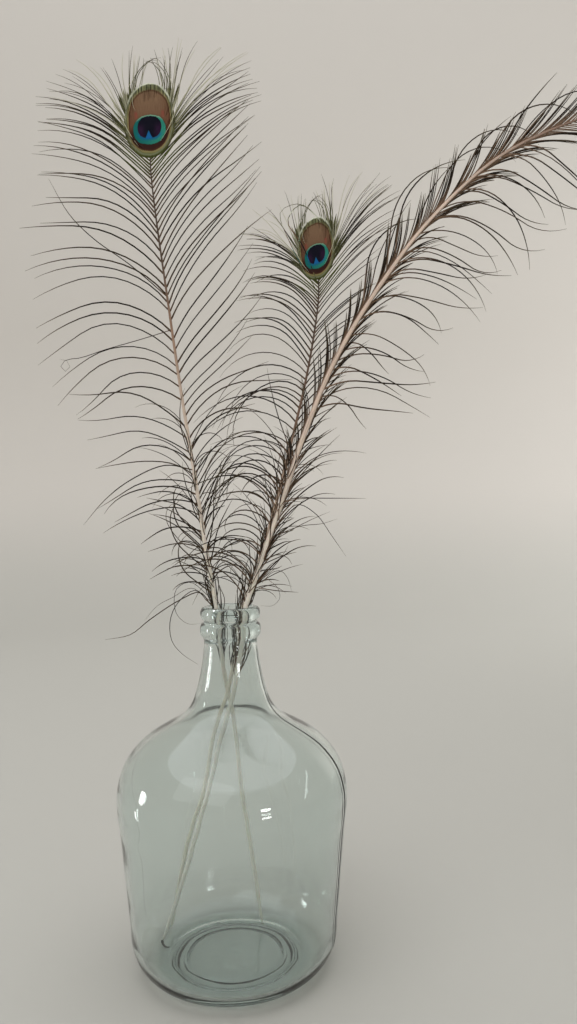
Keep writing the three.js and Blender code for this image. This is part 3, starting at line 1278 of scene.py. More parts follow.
@dataclass(frozen=True)
class Plate:
    """The close-knit plate behind the eye's barbs, in millimetres at the eye's scale of 1."""

    half_size: tuple[float, float] = (27.5, 38.0)
    vertices: int = 72
    rings: int = 7
    ring_width: float = 0.12
    narrowing: float = 0.06
    rise: float = 0.95
    cup: float = 0.28
    thickness: float = 0.35
    strand_place: tuple[float, float] = (0.5, 0.2)

    def disc(self, name: str) -> bpy.types.Object:
        """Add a flat disc of radius 1 and inset it into rings.

        Args:
            name: the object's name.

        Returns:
            The object.
        """
        deselect()
        bpy.ops.mesh.primitive_circle_add(
            vertices=self.vertices, radius=1.0, fill_type="NGON", location=(0, 0, 0)
        )
        item = bpy.context.object
        item.name = name
        bpy.ops.object.mode_set(mode="EDIT")
        bpy.ops.mesh.select_mode(type="FACE")
        bpy.ops.mesh.select_all(action="SELECT")
        for _ in range(self.rings):
            bpy.ops.mesh.inset(thickness=self.ring_width)
        bpy.ops.object.mode_set(mode="OBJECT")
        return item

    def cup_disc(self, item: bpy.types.Object, eye: Spot, scale: float) -> None:
        """Stretch the disc behind the eye, cup it and map it.

        Args:
            item: the flat disc.
            eye: the place of the eye.
            scale: the eye's scale.
        """
        wide, tall = (half * scale for half in self.half_size)
        flat = []
        for point in item.data.vertices:
            x, y = point.co.x, point.co.y
            x *= 1 - self.narrowing * y
            out = self.rise - self.cup * (x * x + y * y)
            place = eye.point + eye.across * (x * wide) + eye.along * (y * tall) + eye.out * out
            flat.append((x * wide, y * tall))
            point.co = Vector(place * MM)
        layers = item.data.uv_layers
        while layers:
            layers.remove(layers[0])
        for key in (UV_STRAND, UV_EYE, UV_BACK):
            layers.new(name=key)
        for loop in item.data.loops:
            x, y = (part / (EYE_UNIT * scale) for part in flat[loop.vertex_index])
            layers[UV_EYE].data[loop.index].uv = (x, y)
            layers[UV_STRAND].data[loop.index].uv = self.strand_place

    def make(self, name: str, eye: Spot, scale: float) -> bpy.types.Object:
        """Model the plate from a disc that is inset, cupped and thickened.

        Args:
            name: the object's name.
            eye: the place of the eye.
            scale: the eye's scale.

        Returns:
            The object, without its material.
        """
        item = self.disc(name)
        self.cup_disc(item, eye, scale)
        make_active(item)
        bpy.ops.object.modifier_add(type="SOLIDIFY")
        item.modifiers[-1].thickness = self.thickness * MM
        bpy.ops.object.modifier_apply(modifier=item.modifiers[-1].name)
        bpy.ops.object.mode_set(mode="EDIT")
        bpy.ops.mesh.select_all(action="SELECT")
        bpy.ops.mesh.normals_make_consistent(inside=False)
        bpy.ops.object.mode_set(mode="OBJECT")
        bpy.ops.object.shade_smooth()
        out = Vector(eye.out)
        for face in item.data.polygons:
            behind = 1.0 if face.normal.dot(out) < 0 else 0.0
            for loop in face.loop_indices:
                item.data.uv_layers[UV_BACK].data[loop].uv = (behind, 0.0)
        return item


@dataclass(frozen=True)
class Hook:
    """The dried hook at the end of a quill: its way and how it is swept."""

    points: Sequence[Point]
    sides: int = 6
    rows: int = 12
    smoothing: int = 8
    width: float = 3.2
    depth: float = 2.6
    tip: float = 0.35

    def strand(self) -> Strand:
        """Sweep the hook.

        Returns:
            A strand that thins towards its tip.
        """
        path = resample(smooth_line(self.points, self.smoothing), self.rows)
        thin = np.linspace(1.0, self.tip, self.rows)
        return Strand(path, FRONT, self.width * thin, self.depth * thin, 0.0)


@dataclass
class Feather:
    """One train feather: a shaft, the barbs on either side of it and the plate of its eye."""

    jar: Demijohn
    name: str
    seed: int
    twist: tuple[float, float]
    route: Sequence[Point]
    girth: Sequence[Row]
    shaft_stops: Sequence[tuple[float, Colour]]
    rows: dict[Side, Sequence[tuple[float, Sequence[Row]]]]
    spacing: dict[Side, Sequence[Row]]
    eye_at: float
    wild: int
    strays: Sequence[tuple[float, Sequence[Point]]]
    stray_points: int = 22
    stray_smoothing: int = 10
    wild_bend: tuple[float, float] = (80.0, 66.0)
    loose: dict[Side, Sequence[Curls]] = field(default_factory=dict)
    eye_scale: float = 1.0
    first_barb: float = 398.0
    ragged: float = 0.05
    bundle: float = 0.0
    hook: Optional[Hook] = None
    brown_from: tuple[float, float] = (0.6, 0.8)
    root: Colour = srgb(124, 102, 84)
    root_reach: float = 0.1
    barb_width: float = 1.45
    barb_root: float = 0.75
    width_range: tuple[float, float] = (0.82, 1.15)
    flatness: float = 0.42
    shade_power: float = 1.4
    twist_from: float = 0.5
    tangent_reach: float = 4.0
    shaft_sides: int = 14
    shaft_rows: int = 190
    shaft_size: tuple[float, float] = (2.0, 1.85)
    shaft_ends: tuple[float, float] = (0.35, 0.4)
    groove: float = 0.22
    groove_from: tuple[float, float] = (380.0, 430.0)
    groove_columns: tuple[int, int] = (4, 5)
    vane: VaneHabit = VaneHabit()
    bundled: BundleHabit = BundleHabit()
    curling: WildHabit = WildHabit()
    neck: NeckHabit = NeckHabit()
    fan: FanHabit = FanHabit()
    plate: Plate = Plate()
    curve: np.ndarray = field(init=False)
    reached: np.ndarray = field(init=False)
    length: float = field(init=False)
    chance: random.Random = field(init=False)
    eye: Spot = field(init=False)
    barb_material: bpy.types.Material = field(init=False)

    def __post_init__(self) -> None:
        """Measure the shaft's curve, settle where the eye is and make the barbs' material."""
        self.curve = smooth_line(self.route)
        self.reached = distances(self.curve)
        self.length = float(self.reached[-1])
        self.chance = random.Random(self.seed)
        self.eye = self.spot(self.eye_at)
        self.barb_material = BarbFinish(f"{self.name}_barb", self.root, self.root_reach).make()

    def point_at(self, distance: float) -> np.ndarray:
        """The point of the shaft at a distance from the quill's end."""
        return np.array([np.interp(distance, self.reached, self.curve[:, i]) for i in range(3)])

    def spot(self, distance: float) -> Spot:
        """Find the shaft's point and directions.

        Args:
            distance: how far from the quill's end.

        Returns:
            The place.
        """
        reach = self.tangent_reach
        ahead = self.point_at(min(distance + reach, self.length))
        behind = self.point_at(min(distance - reach, self.length - 2 * reach))
        along = unit(ahead - behind)
        share = smoothstep(distance / self.length, self.twist_from, 1.0)
        turn = math.radians(self.twist[0] + (self.twist[1] - self.twist[0]) * share)
        front = np.array([math.sin(turn), -math.cos(turn), 0.0])
        across = unit(np.cross(along, front))
        return Spot(self.point_at(distance), along, across, unit(np.cross(across, along)))

    def dress(self, item: bpy.types.Object, *materials: bpy.types.Material) -> None:
        """Give a piece its materials, and report it in place of the feather's solid.

        Args:
            item: the piece.
            materials: its materials.
        """
        for material in materials:
            item.data.materials.append(material)
        report(item, FEATHER_SLOT, self.name)

    # -- shaft --

    def make_shaft(self) -> None:
        """Sweep the shaft, thickest above the jar and grooved along its front."""
        places = np.linspace(0, self.length, self.shaft_rows)
        spots = [self.spot(place) for place in places]
        girth = np.array([look_up(self.girth, place) for place in places])
        girth[0] *= self.shaft_ends[0]
        girth[-1] *= self.shaft_ends[1]
        path = np.array([spot.point for spot in spots])
        facing = np.array([spot.out for spot in spots])
        width, depth = (girth * size for size in self.shaft_size)
        weaver = Weaver(self.eye, self.eye_scale)
        weaver.add(Strand(path, facing, width, depth, 0.0), self.shaft_sides)
        materials = [ShaftFinish(f"{self.name}_horn", self.shaft_stops, self.brown_from).make()]
        if self.hook is not None:
            weaver.add(self.hook.strand(), self.hook.sides)
            materials.append(DriedTipFinish().make())
        item = weaver.weave(f"{self.name}_shaft")
        self.cut_groove(item, places)
        self.map_turn(item)
        self.dress(item, *materials)
        for face in item.data.polygons:
            if min(face.vertices) >= self.shaft_sides * self.shaft_rows:
                face.material_index = 1

    def cut_groove(self, item: bpy.types.Object, places: np.ndarray) -> None:
        """Sink two lines of points along the shaft's front, above the jar.

        Args:
            item: the shaft.
            places: how far from the quill's end each ring of points is.
        """
        for row, place in enumerate(places):
            sink = self.groove * look_up(self.girth, place) * smoothstep(place, *self.groove_from)
            for column in self.groove_columns:
                point = item.data.vertices[row * self.shaft_sides + column]
                point.co -= Vector(self.spot(place).out * sink * MM)

    def map_turn(self, item: bpy.types.Object) -> None:
        """Give the shaft's map the way round it as its second coordinate.

        Args:
            item: the shaft.
        """
        layer = item.data.uv_layers[UV_STRAND]
        sides = self.shaft_sides
        for loop in item.data.loops:
            if loop.vertex_index < sides * self.shaft_rows:
                layer.data[loop.index].uv.y = abs(loop.vertex_index % sides / sides - 0.5) * 2

    # -- barbs --

    def barb_row(self, side: Side, distance: float) -> list[float]:
        """Look up a barb, before its own variation.

        Args:
            side: the side that it leaves on.
            distance: where on the shaft it starts.

        Returns:
            Its length and its four angles.
        """
        eye_rows = [(d * self.eye_scale, l * self.eye_scale, *a) for d, l, *a in EYE_BARBS]
        near = distance - self.eye_at
        if near >= eye_rows[0][0]:
            return [look_up(eye_rows, near, column) for column in range(1, 6)]
        pick = self.chance.random()
        for share, rows in self.rows[side]:
            pick -= share
            if pick < 0:
                break
        rows = [*rows, (self.eye_at + eye_rows[0][0], *eye_rows[0][1:])]
        return [look_up(rows, distance, column) for column in range(1, 6)]

    def grow(
        self,
        distance: float,
        side: Side,
        length: float,
        angles: Sequence[float],
        lift: tuple[float, float],
        count: int,
        offset: float = 0.0,
    ) -> np.ndarray:
        """Grow one barb's path from the shaft.

        Args:
            distance: where on the shaft it starts.
            side: the side that it leaves on.
            length: its length.
            angles: its angles from the shaft at four even places along it.
            lift: how far it leans out of the vane at its start and its tip, in degrees.
            count: how many points it has.
            offset: how far out of the vane it starts.

        Returns:
            The path's points.
        """
        spot = self.spot(distance)
        share = (np.arange(count - 1) + 0.5) / (count - 1)
        turn = np.radians(np.interp(share, (0, 1 / 3, 2 / 3, 1), angles))
        lean = np.radians(np.interp(share, (0, 1), lift))
        step = length / (count - 1)
        flat = (
            np.cos(turn)[:, None] * spot.along + side.value * np.sin(turn)[:, None] * spot.across
        )
        moves = (np.cos(lean)[:, None] * flat + np.sin(lean)[:, None] * spot.out) * step
        root = look_up(self.girth, distance) * self.barb_root
        start = spot.point + spot.across * side.value * root + spot.out * offset
        return np.vstack([start, start + np.cumsum(moves, axis=0)])

    def near_eye(self, distance: float) -> float:
        """How near a place is to the eye, from 0 where its zone begins to 1 where it ends."""
        return smoothstep(distance, *(self.eye_at + end for end in self.vane.eye_zone))

    def strand(self, distance: float, path: np.ndarray, width: float) -> Strand:
        """Dress a path as a barb with its own width and shade, clear of the jar.

        Args:
            distance: where on the shaft it starts.
            path: its points.
            width: its usual width.

        Returns:
            The barb.
        """
        widths = taper(width * self.chance.uniform(*self.width_range), len(path))
        shade = self.chance.random() ** self.shade_power
        clear = self.jar.keep_clear(path)
        return Strand(clear, self.spot(distance).out, widths, widths * self.flatness, shade)

    def gather(
        self, distance: float, side: Side, length: float, angles: Sequence[float]
    ) -> tuple[float, list[float]]:
        """Turn a barb towards the tip of the bundle that it clings to.

        Args:
            distance: where on the shaft it starts.
            side: the side that it leaves on.
            length: its length.
            angles: its four angles from the shaft.

        Returns:
            Its new length and angles.
        """
        habit = self.bundled
        home = (distance // self.bundle + 0.5) * self.bundle
        longer, wider = (
            noise.noise(Vector((home * habit.drift, self.seed + key, side.value)))
            for key in habit.drift_keys
        )
        free = 1 - self.near_eye(distance)
        length *= 1 + habit.length_change * longer * free
        angles = [angle + habit.turn * wider * free for angle in angles]
        middle = math.radians(sum(angles) / len(angles))
        ahead = length * math.cos(middle) - habit.pull * (distance - home)
        out = length * math.sin(middle)
        turn = math.degrees(math.atan2(out, ahead) - middle)
        return math.hypot(ahead, out), [angle + turn for angle in angles]

    def vane_barbs(self, side: Side) -> Iterator[Strand]:
        """Grow the ordered barbs of one side, up to where the eye's own begin.

        Args:
            side: the side of the shaft.

        Yields:
            The barbs.
        """
        habit = self.vane
        distance = self.first_barb
        spacing = [*self.spacing[side], *((self.eye_at + d, s) for d, s in EYE_SPACING)]
        spacing.sort()
        while distance < self.eye_at + habit.stop * self.eye_scale:
            distance += look_up(spacing, distance) * self.chance.uniform(*habit.step)
            loose = habit.loose - habit.calmed * smoothstep(distance, *habit.calm)
            drift = noise.noise(Vector((distance / habit.clump_length, self.seed, side.value)))
            clump = habit.clump * loose * drift
            if self.chance.random() < habit.gaps * loose:
                continue
            length, *angles = self.barb_row(side, distance)
            width = self.barb_width
            if self.bundle:
                loose *= self.bundled.loose
                clump = 0.0
                width *= self.bundled.width
                length, angles = self.gather(distance, side, length, angles)
            near_eye = self.near_eye(distance)
            ragged = self.ragged + (habit.eye_ragged - self.ragged) * near_eye
            shortest, longest = habit.lengths
            change = max(self.chance.gauss(1.0, ragged * loose), shortest)
            length *= min(change, longest - habit.eye_cut * near_eye)
            lean = self.chance.gauss(0, habit.lean * loose)
            angles = [
                angle + self.chance.gauss(0, spread * loose) + clump * spread / habit.clump_spread
                for angle, spread in zip(angles, habit.spreads)
            ]
            lift = (lean, lean + self.chance.gauss(0, habit.curl * loose))
            path = self.grow(distance, side, length, angles, lift, habit.points)
            yield self.strand(distance, path, width)

    def wild_barbs(self, side: Side) -> Iterator[Strand]:
        """Grow the thin curling barbs of one side, low on the shaft.

        Args:
            side: the side of the shaft.

        Yields:
            The barbs.
        """
        habit = self.curling
        for _ in range(self.wild):
            distance = self.chance.uniform(self.first_barb - habit.below, habit.top)
            rise = smoothstep(distance, *habit.rise)
            shortest, longest = habit.lengths
            length = self.chance.uniform(shortest, longest + habit.growth * rise)
            start = self.chance.uniform(*habit.starts)
            bend = self.chance.gauss(*self.wild_bend)
            angles = [start + share * bend for share in habit.bends]
            lean = self.chance.gauss(0, habit.lean)
            crossing = start < 0
            if crossing:
                lean = abs(lean) + habit.crossing_lean
            lift = (lean, lean + self.chance.gauss(0, habit.curl))
            offset = look_up(self.girth, distance) if crossing else 0.0
            path = self.grow(distance, side, length, angles, lift, habit.points, offset)
            yield self.strand(distance, path, self.barb_width * habit.width)

    def neck_barbs(self, side: Side) -> Iterator[Strand]:
        """Grow the crushed barbs of one side, inside the jar's neck.

        Args:
            side: the side of the shaft.

        Yields:
            The barbs.
        """
        habit = self.neck
        for _ in range(habit.count):
            distance = self.chance.uniform(*habit.span)
            length = self.chance.uniform(*habit.lengths)
            start = self.chance.uniform(*habit.starts)
            ends = (self.chance.uniform(*turns) for turns in (habit.middles, habit.tips))
            angles = (start, start - habit.turn_in, *ends)
            lift = (self.chance.gauss(0, habit.lean), self.chance.gauss(0, habit.curl))
            path = self.grow(distance, side, length, angles, lift, habit.points)
            yield self.strand(distance, path, self.barb_width * habit.width)

    def loose_barbs(self, side: Side) -> Iterator[Strand]:
        """Grow the long loose barbs of one side, habit by habit.

        Args:
            side: the side of the shaft.

        Yields:
            The barbs.
        """
        for habit in self.loose.get(side, ()):
            for distance, length, angles in habit.draw(self.chance):
                lift = (self.chance.gauss(*habit.lean), self.chance.gauss(0, habit.curl))
                path = self.grow(distance, side, length, angles, lift, habit.points)
                yield self.strand(distance, path, self.barb_width)

    def stray_barbs(self) -> Iterator[Strand]:
        """Lay the stray barbs, whose way is given point by point.

        Yields:
            The barbs.
        """
        for width, points in self.strays:
            path = resample(smooth_line(points, self.stray_smoothing), self.stray_points)
            nearest = np.argmin(np.linalg.norm(self.curve - path[0], axis=1))
            yield self.strand(self.reached[nearest], path, width)

    def weave(self, part: str, strands: Iterable[Strand]) -> None:
        """Join strands into one piece of the barbs' material.

        Args:
            part: the end of the piece's name.
            strands: the strands.
        """
        weaver = Weaver(self.eye, self.eye_scale)
        for strand in strands:
            weaver.add(strand)
        self.dress(weaver.weave(f"{self.name}_{part}"), self.barb_material)

    def make_barbs(self, side: Side) -> None:
        """Join all the loose barbs of one side into a piece.

        Args:
            side: the side of the shaft.
        """
        strands = [*self.vane_barbs(side), *self.wild_barbs(side)]
        strands += [*self.neck_barbs(side), *self.loose_barbs(side)]
        if side is Side.LEFT:
            strands += self.stray_barbs()
        self.weave(f"{side.name.lower()}_barbs", strands)

    # -- eye --

    def fan_barbs(self, side: Side) -> Iterator[Strand]:
        """Grow the close barbs of one side that fan through the eye.

        Args:
            side: the side of the shaft.

        Yields:
            The barbs.
        """
        habit = self.fan
        distance, stop = (self.eye_at + end * self.eye_scale for end in habit.span)
        layer = 0
        while distance < stop:
            distance += habit.spacing * self.eye_scale * self.chance.uniform(*habit.step)
            near = (distance - self.eye_at) / self.eye_scale
            length, *angles = self.barb_row(side, distance)
            length *= self.chance.gauss(1, habit.ragged)
            frayed = smoothstep(near, *habit.frayed)
            angles = [
                angle + self.chance.gauss(0, neat + (wide - neat) * frayed)
                for angle, (neat, wide) in zip(angles, habit.spreads)
            ]
            layer = (layer + 1) % habit.layers
            lift = (self.chance.gauss(0, habit.lean), self.chance.gauss(0, habit.curl))
            offset = habit.layer_gap * layer
            path = self.grow(distance, side, length, angles, lift, habit.points, offset)
            cut_from, always_cut = habit.cut_zone
            cut = near > always_cut or (near > cut_from and self.chance.random() < habit.cut_share)
            places = habit.high_places if near > habit.high_from else habit.low_places
            if cut:
                places = habit.cut_places
                path = self.end_at_plate(path)
            widths = np.interp(np.linspace(0, 1, habit.points), places, habit.widths)
            pale = self.chance.random() < habit.pale_share
            shade = habit.pale_shade if pale else self.chance.random() * habit.shade
            yield Strand(path, self.eye.out, widths, np.full(habit.points, habit.depth), shade)

    def end_at_plate(self, path: np.ndarray) -> np.ndarray:
        """Cut a barb short at the top of the eye's plate.

        Args:
            path: its points.

        Returns:
            As many points, as far as the plate's top.
        """
        height = (path - self.eye.point) @ self.eye.along
        top = self.eye_scale * self.chance.uniform(*self.fan.cut_heights)
        kept = path[height < top]
        fits = self.fan.fewest_points < len(kept) < len(path)
        return resample(kept, len(path)) if fits else path

    def overlay(self) -> Iterator[Strand]:
        """Lay the pale and the dark strands over the eye.

        Yields:
            The strands.
        """
        habit, count = self.fan, self.fan.over_points
        for group, shade in zip((PALE_STRANDS, DARK_STRANDS), habit.over_shades):
            for width, points in group:
                flat = np.array(points, float) * self.eye_scale
                path = self.eye.point + flat @ np.array([self.eye.across, self.eye.along])
                path = smooth_line(path + self.eye.out * habit.over_rise, habit.over_smoothing)
                depth = np.full(count, habit.over_depth)
                yield Strand(resample(path, count), self.eye.out, taper(width, count), depth, shade)

    def make(self) -> None:
        """Build, dress and report every piece of the feather."""
        self.make_shaft()
        for side in Side:
            self.make_barbs(side)
        fan = [barb for side in Side for barb in self.fan_barbs(side)]
        self.weave("eye_barbs", [*fan, *self.overlay()])
        plate = self.plate.make(f"{self.name}_eye_plate", self.eye, self.eye_scale)
        self.dress(plate, self.barb_material)


# ---- the three feathers ----


def left_feather(jar: Demijohn) -> Feather:
    """Describe the upright feather on the left, whose eye faces the front.

    Args:
        jar: the demijohn that it stands in.

    Returns:
        The feather.
    """
    left_rows = (
        (400, 40, 55, 80, 110, 130), (500, 120, 60, 88, 110, 110), (580, 130, 42, 55, 90, 75),
        (620, 150, 44, 85, 125, 125), (660, 170, 36, 70, 115, 125), (720, 165, 34, 60, 90, 105),
        (790, 150, 24, 48, 72, 80), (840, 142, 40, 46, 66, 84),
    )
    right_rows = (
        (400, 35, 40, 60, 80, 90), (530, 80, 40, 46, 60, 70), (580, 125, 34, 65, 105, 120),
        (610, 110, 45, 58, 52, 35), (700, 150, 30, 45, 48, 45), (750, 156, 30, 45, 60, 55),
        (790, 150, 34, 50, 54, 50), (836, 138, 40, 56, 64, 76),
    )
    hooked = Curls(4, (385, 470), (65, 125), ((28, 46), (24, 50), (-25, 6), (-110, -40)))
    drooping = Curls(6, (395, 505), (45, 75), ((22, 48), (35, 75), (45, 120), (50, 140)))
    looping = Curls(3, (405, 455), (46, 60), ((50, 80), (80, 140), (100, 155), (100, 168)))
    rising = Curls(6, (420, 510), (60, 94), ((22, 34), (10, 36), (0, 75), (-40, 80)))
    spacing = ((400, 17), (500, 13), (600, 12.2), (700, 11.6), (780, 9.2), (815, 5.6), (850, 3.0))
    return Feather(
        jar=jar,
        name="left_feather",
        seed=11,
        twist=(-8, -8),
        route=(
            (28, 52, 10), (20, 46, 76), (8, 38, 165), (-1, 30, 258), (-10, 20, 311), (-16, 8, 384),
            (-25, 2, 443), (-34, -8, 518), (-48, -20, 623), (-60, -30, 725), (-69, -36, 803),
            (-73, -39, 850), (-73, -42, 905),
        ),
        girth=((0, 1.4), (40, 2.5), (380, 2.5), (520, 2.1), (720, 1.2), (860, 0.7), (910, 0.45)),
        shaft_stops=ramp_stops(
            (0.0, 252, 250, 238), (0.42, 248, 242, 230), (0.62, 236, 218, 202),
            (0.75, 164, 132, 110), (0.84, 74, 58, 46), (1.0, 46, 42, 30),
        ),
        rows={Side.LEFT: ((1.0, left_rows),), Side.RIGHT: ((1.0, right_rows),)},
        spacing=dict.fromkeys(Side, spacing),
        loose={Side.LEFT: (hooked, drooping), Side.RIGHT: (looping, rising)},
        eye_at=902,
        wild=22,
        strays=(
            (1.2, ((-21, 8, 385), (-33, 2, 402), (-54, -6, 395), (-86, -14, 375), (-106, -20, 360),
                   (-132, -26, 356))),
            (0.9, ((-23, 6, 388), (-37, -4, 405), (-54, -20, 394), (-61, -32, 377),
                   (-59, -38, 356), (-49, -40, 343), (-31, -42, 331))),
            (0.6, ((-22, 8, 391), (-43, 10, 406), (-66, 16, 395), (-83, 20, 386), (-99, 24, 369))),
            (0.7, ((-22, 8, 395), (-43, -6, 414), (-57, -14, 407), (-57, -20, 384), (-41, -38, 373),
                   (-28, -42, 374))),
            (0.8, ((-27, 2, 446), (-47, -14, 455), (-65, -24, 483), (-60, -28, 498), (-46, -30, 499))),
            (1.0, ((-60, -30, 720), (-95, -44, 749), (-129, -56, 772), (-153, -60, 796),
                   (-173, -64, 832))),
            (0.8, ((-56, -26, 685), (-87, -40, 672), (-121, -50, 660), (-146, -54, 651),
                   (-161, -54, 649), (-166, -55, 643), (-161, -56, 637), (-156, -57, 641),
                   (-158, -58, 647), (-166, -59, 649))),
            (1.2, ((-36, -10, 536), (-65, -24, 541), (-101, -34, 525), (-126, -40, 505),
                   (-148, -44, 479))),
        ),
    )


def middle_feather(jar: Demijohn) -> Feather:
    """Describe the shorter feather in the middle, whose eye is turned to the left.

    Args:
        jar: the demijohn that it stands in.

    Returns:
        The feather.
    """
    left_rows = (
        (400, 40, 45, 80, 120, 160), (460, 80, 45, 80, 130, 180), (520, 105, 48, 84, 150, 215),
        (570, 130, 58, 108, 165, 200), (600, 132, 50, 80, 120, 150), (640, 134, 58, 112, 160, 215),
        (670, 128, 44, 50, 85, 112), (740, 115, 40, 55, 78, 106),
    )
    right_rows = (
        (400, 30, 40, 50, 60, 70), (500, 42, 28, 36, 46, 60), (600, 60, 27, 36, 48, 60),
        (690, 80, 30, 40, 52, 62), (735, 100, 38, 46, 56, 66),
    )
    return Feather(
        jar=jar,
        name="middle_feather",
        seed=23,
        twist=(-6, -36),
        route=(
            (-78, 44, 12), (-58, 36, 105), (-36, 28, 174), (-21, 19, 243), (-5, 13, 291),
            (6, 10, 342), (14, 9, 384), (31, 11, 431), (51, 14, 495), (71, 18, 570), (88, 22, 639),
            (98, 25, 691), (104, 28, 737), (102, 29, 793),
        ),
        girth=((0, 1.3), (40, 2.3), (390, 2.3), (520, 1.8), (700, 1.1), (780, 0.7), (820, 0.45)),
        shaft_stops=ramp_stops(
            (0.0, 250, 247, 232), (0.45, 240, 232, 216), (0.6, 204, 180, 160),
            (0.75, 120, 92, 74), (0.88, 60, 48, 38), (1.0, 44, 40, 28),
        ),
        rows={Side.LEFT: ((1.0, left_rows),), Side.RIGHT: ((1.0, right_rows),)},
        spacing={
            Side.LEFT: ((400, 16), (500, 10), (600, 7.4), (700, 6), (742, 3.8)),
            Side.RIGHT: ((400, 12), (600, 11), (700, 7), (742, 4)),
        },
        eye_at=802,
        eye_scale=0.93,
        wild=24,
        wild_bend=(60.0, 60.0),
        strays=(
            (1.2, ((102, 26, 750), (86, 12, 786), (70, 8, 812), (84, 4, 828), (108, 0, 807),
                   (116, -2, 795))),
            (0.9, ((100, 26, 742), (72, 14, 790), (62, 8, 822), (84, 4, 829), (104, 0, 810),
                   (113, -2, 800))),
            (0.8, ((16, 9, 392), (7, 0, 410), (-15, -8, 419), (-31, -14, 406), (-39, -20, 391))),
            (0.6, ((20, 9, 392), (18, 16, 414), (8, 22, 433), (-1, 24, 424), (12, 26, 407))),
        ),
    )


def right_feather(jar: Demijohn) -> Feather:
    """Describe the long feather that arches over to the right.

    Args:
        jar: the demijohn that it stands in.

    Returns:
        The feather.
    """
    straight = (
        (400, 36, 8, 16, 24, 30), (560, 48, 9, 18, 26, 30), (700, 54, 10, 20, 28, 30),
        (820, 56, 11, 22, 29, 30), (960, 56, 12, 24, 30, 30), (1040, 86, 24, 32, 34, 32),
        (1100, 130, 46, 45, 58, 76),
    )
    drooping = (
        (400, 50, 12, 30, 50, 66), (560, 90, 20, 45, 75, 95), (640, 130, 40, 80, 110, 110),
        (760, 125, 22, 62, 80, 90), (930, 110, 30, 68, 80, 75), (1100, 132, 46, 50, 64, 82),
    )
    short = (
        (400, 36, 6, 14, 26, 36), (560, 54, 7, 14, 24, 34), (800, 58, 8, 14, 26, 40),
        (960, 62, 10, 16, 30, 44), (1040, 90, 28, 40, 50, 60), (1100, 128, 46, 48, 62, 80),
    )
    arching = Curls(14, (392, 556), (60, 118), ((30, 56), (52, 112), (100, 152), (110, 205)), 0.8)
    hooked = Curls(8, (716, 990), (122, 152), ((22, 34), (14, 30), (-46, -10), (-110, -50)))
    upright = Curls(6, (700, 1000), (78, 108), ((14, 24), (18, 28), (-4, 20), (-30, 16)))
    rising = Curls(6, (405, 525), (55, 94), ((4, 17), (10, 32), (24, 46), (32, 90)))
    falling = Curls(9, (612, 706), (60, 124), ((28, 48), (50, 105), (48, 132), (16, 142)), 0.6)
    swaying = Curls(13, (716, 975), (96, 142), ((12, 26), (56, 74), (62, 92), (22, 58)), 0.3)
    curling = Curls(9, (700, 960), (84, 130), ((18, 32), (48, 84), (74, 112), (84, 156)), 0.4)
    return Feather(
        jar=jar,
        name="right_feather",
        seed=37,
        twist=(10, 10),
        route=(
            (-83, 13, 12), (-65, 10, 62), (-37, 4, 150), (-15, -1, 230), (2, -5, 291),
            (11, -7, 339), (17, -7, 384), (28, -9, 416), (43, -12, 458), (59, -14, 500),
            (82, -18, 567), (119, -24, 652), (166, -30, 727), (222, -36, 797), (293, -44, 857),
            (370, -52, 889), (433, -58, 902), (490, -62, 905),
        ),
        girth=(
            (0, 1.3), (40, 2.5), (390, 2.7), (560, 2.8), (760, 2.3), (940, 1.6), (1080, 1),
            (1160, 0.5),
        ),
        shaft_stops=ramp_stops(
            (0.0, 252, 250, 240), (0.34, 246, 240, 228), (0.55, 228, 206, 190),
            (0.76, 234, 212, 196), (0.88, 136, 108, 90), (1.0, 48, 44, 30),
        ),
        rows={
            Side.LEFT: ((1.0, straight),),
            Side.RIGHT: ((0.04, drooping), (0.96, short)),
        },
        spacing={
            Side.LEFT: ((400, 9), (540, 6), (620, 4.4), (1040, 4), (1080, 5)),
            Side.RIGHT: ((400, 8), (540, 6), (620, 4.6), (1040, 4), (1080, 5)),
        },
        loose={
            Side.LEFT: (arching, hooked, upright),
            Side.RIGHT: (rising, falling, swaying, curling),
        },
        ragged=0.12,
        bundle=13.0,
        brown_from=(0.33, 0.46),
        root=srgb(146, 120, 100),
        root_reach=0.4,
        eye_at=1146,
        wild=16,
        wild_bend=(28.0, 44.0),
        strays=(
            (0.6, ((36, -10, 413), (47, -18, 424), (57, -24, 426), (64, -28, 418), (68, -30, 404))),
            (0.9, ((33, -10, 407), (50, -20, 405), (75, -34, 404))),
            (0.5, ((40, -10, 418), (53, -26, 408), (55, -34, 398), (47, -40, 391), (35, -44, 392))),
            (0.8, ((48, -12, 468), (62, -22, 487), (76, -30, 497), (95, -36, 486), (111, -40, 463),
                   (125, -42, 442))),
            (0.7, ((43, -12, 459), (62, -18, 468), (80, -24, 474), (101, -28, 476), (118, -30, 481))),
            (0.9, ((58, -14, 499), (78, -22, 503), (110, -28, 503), (148, -34, 502))),
        ),
        hook=Hook(((-83.5, 13, 14), (-82, 11.5, 10.6), (-78, 9.5, 8.6), (-74, 8, 9.2))),
    )


# ---- stage ----


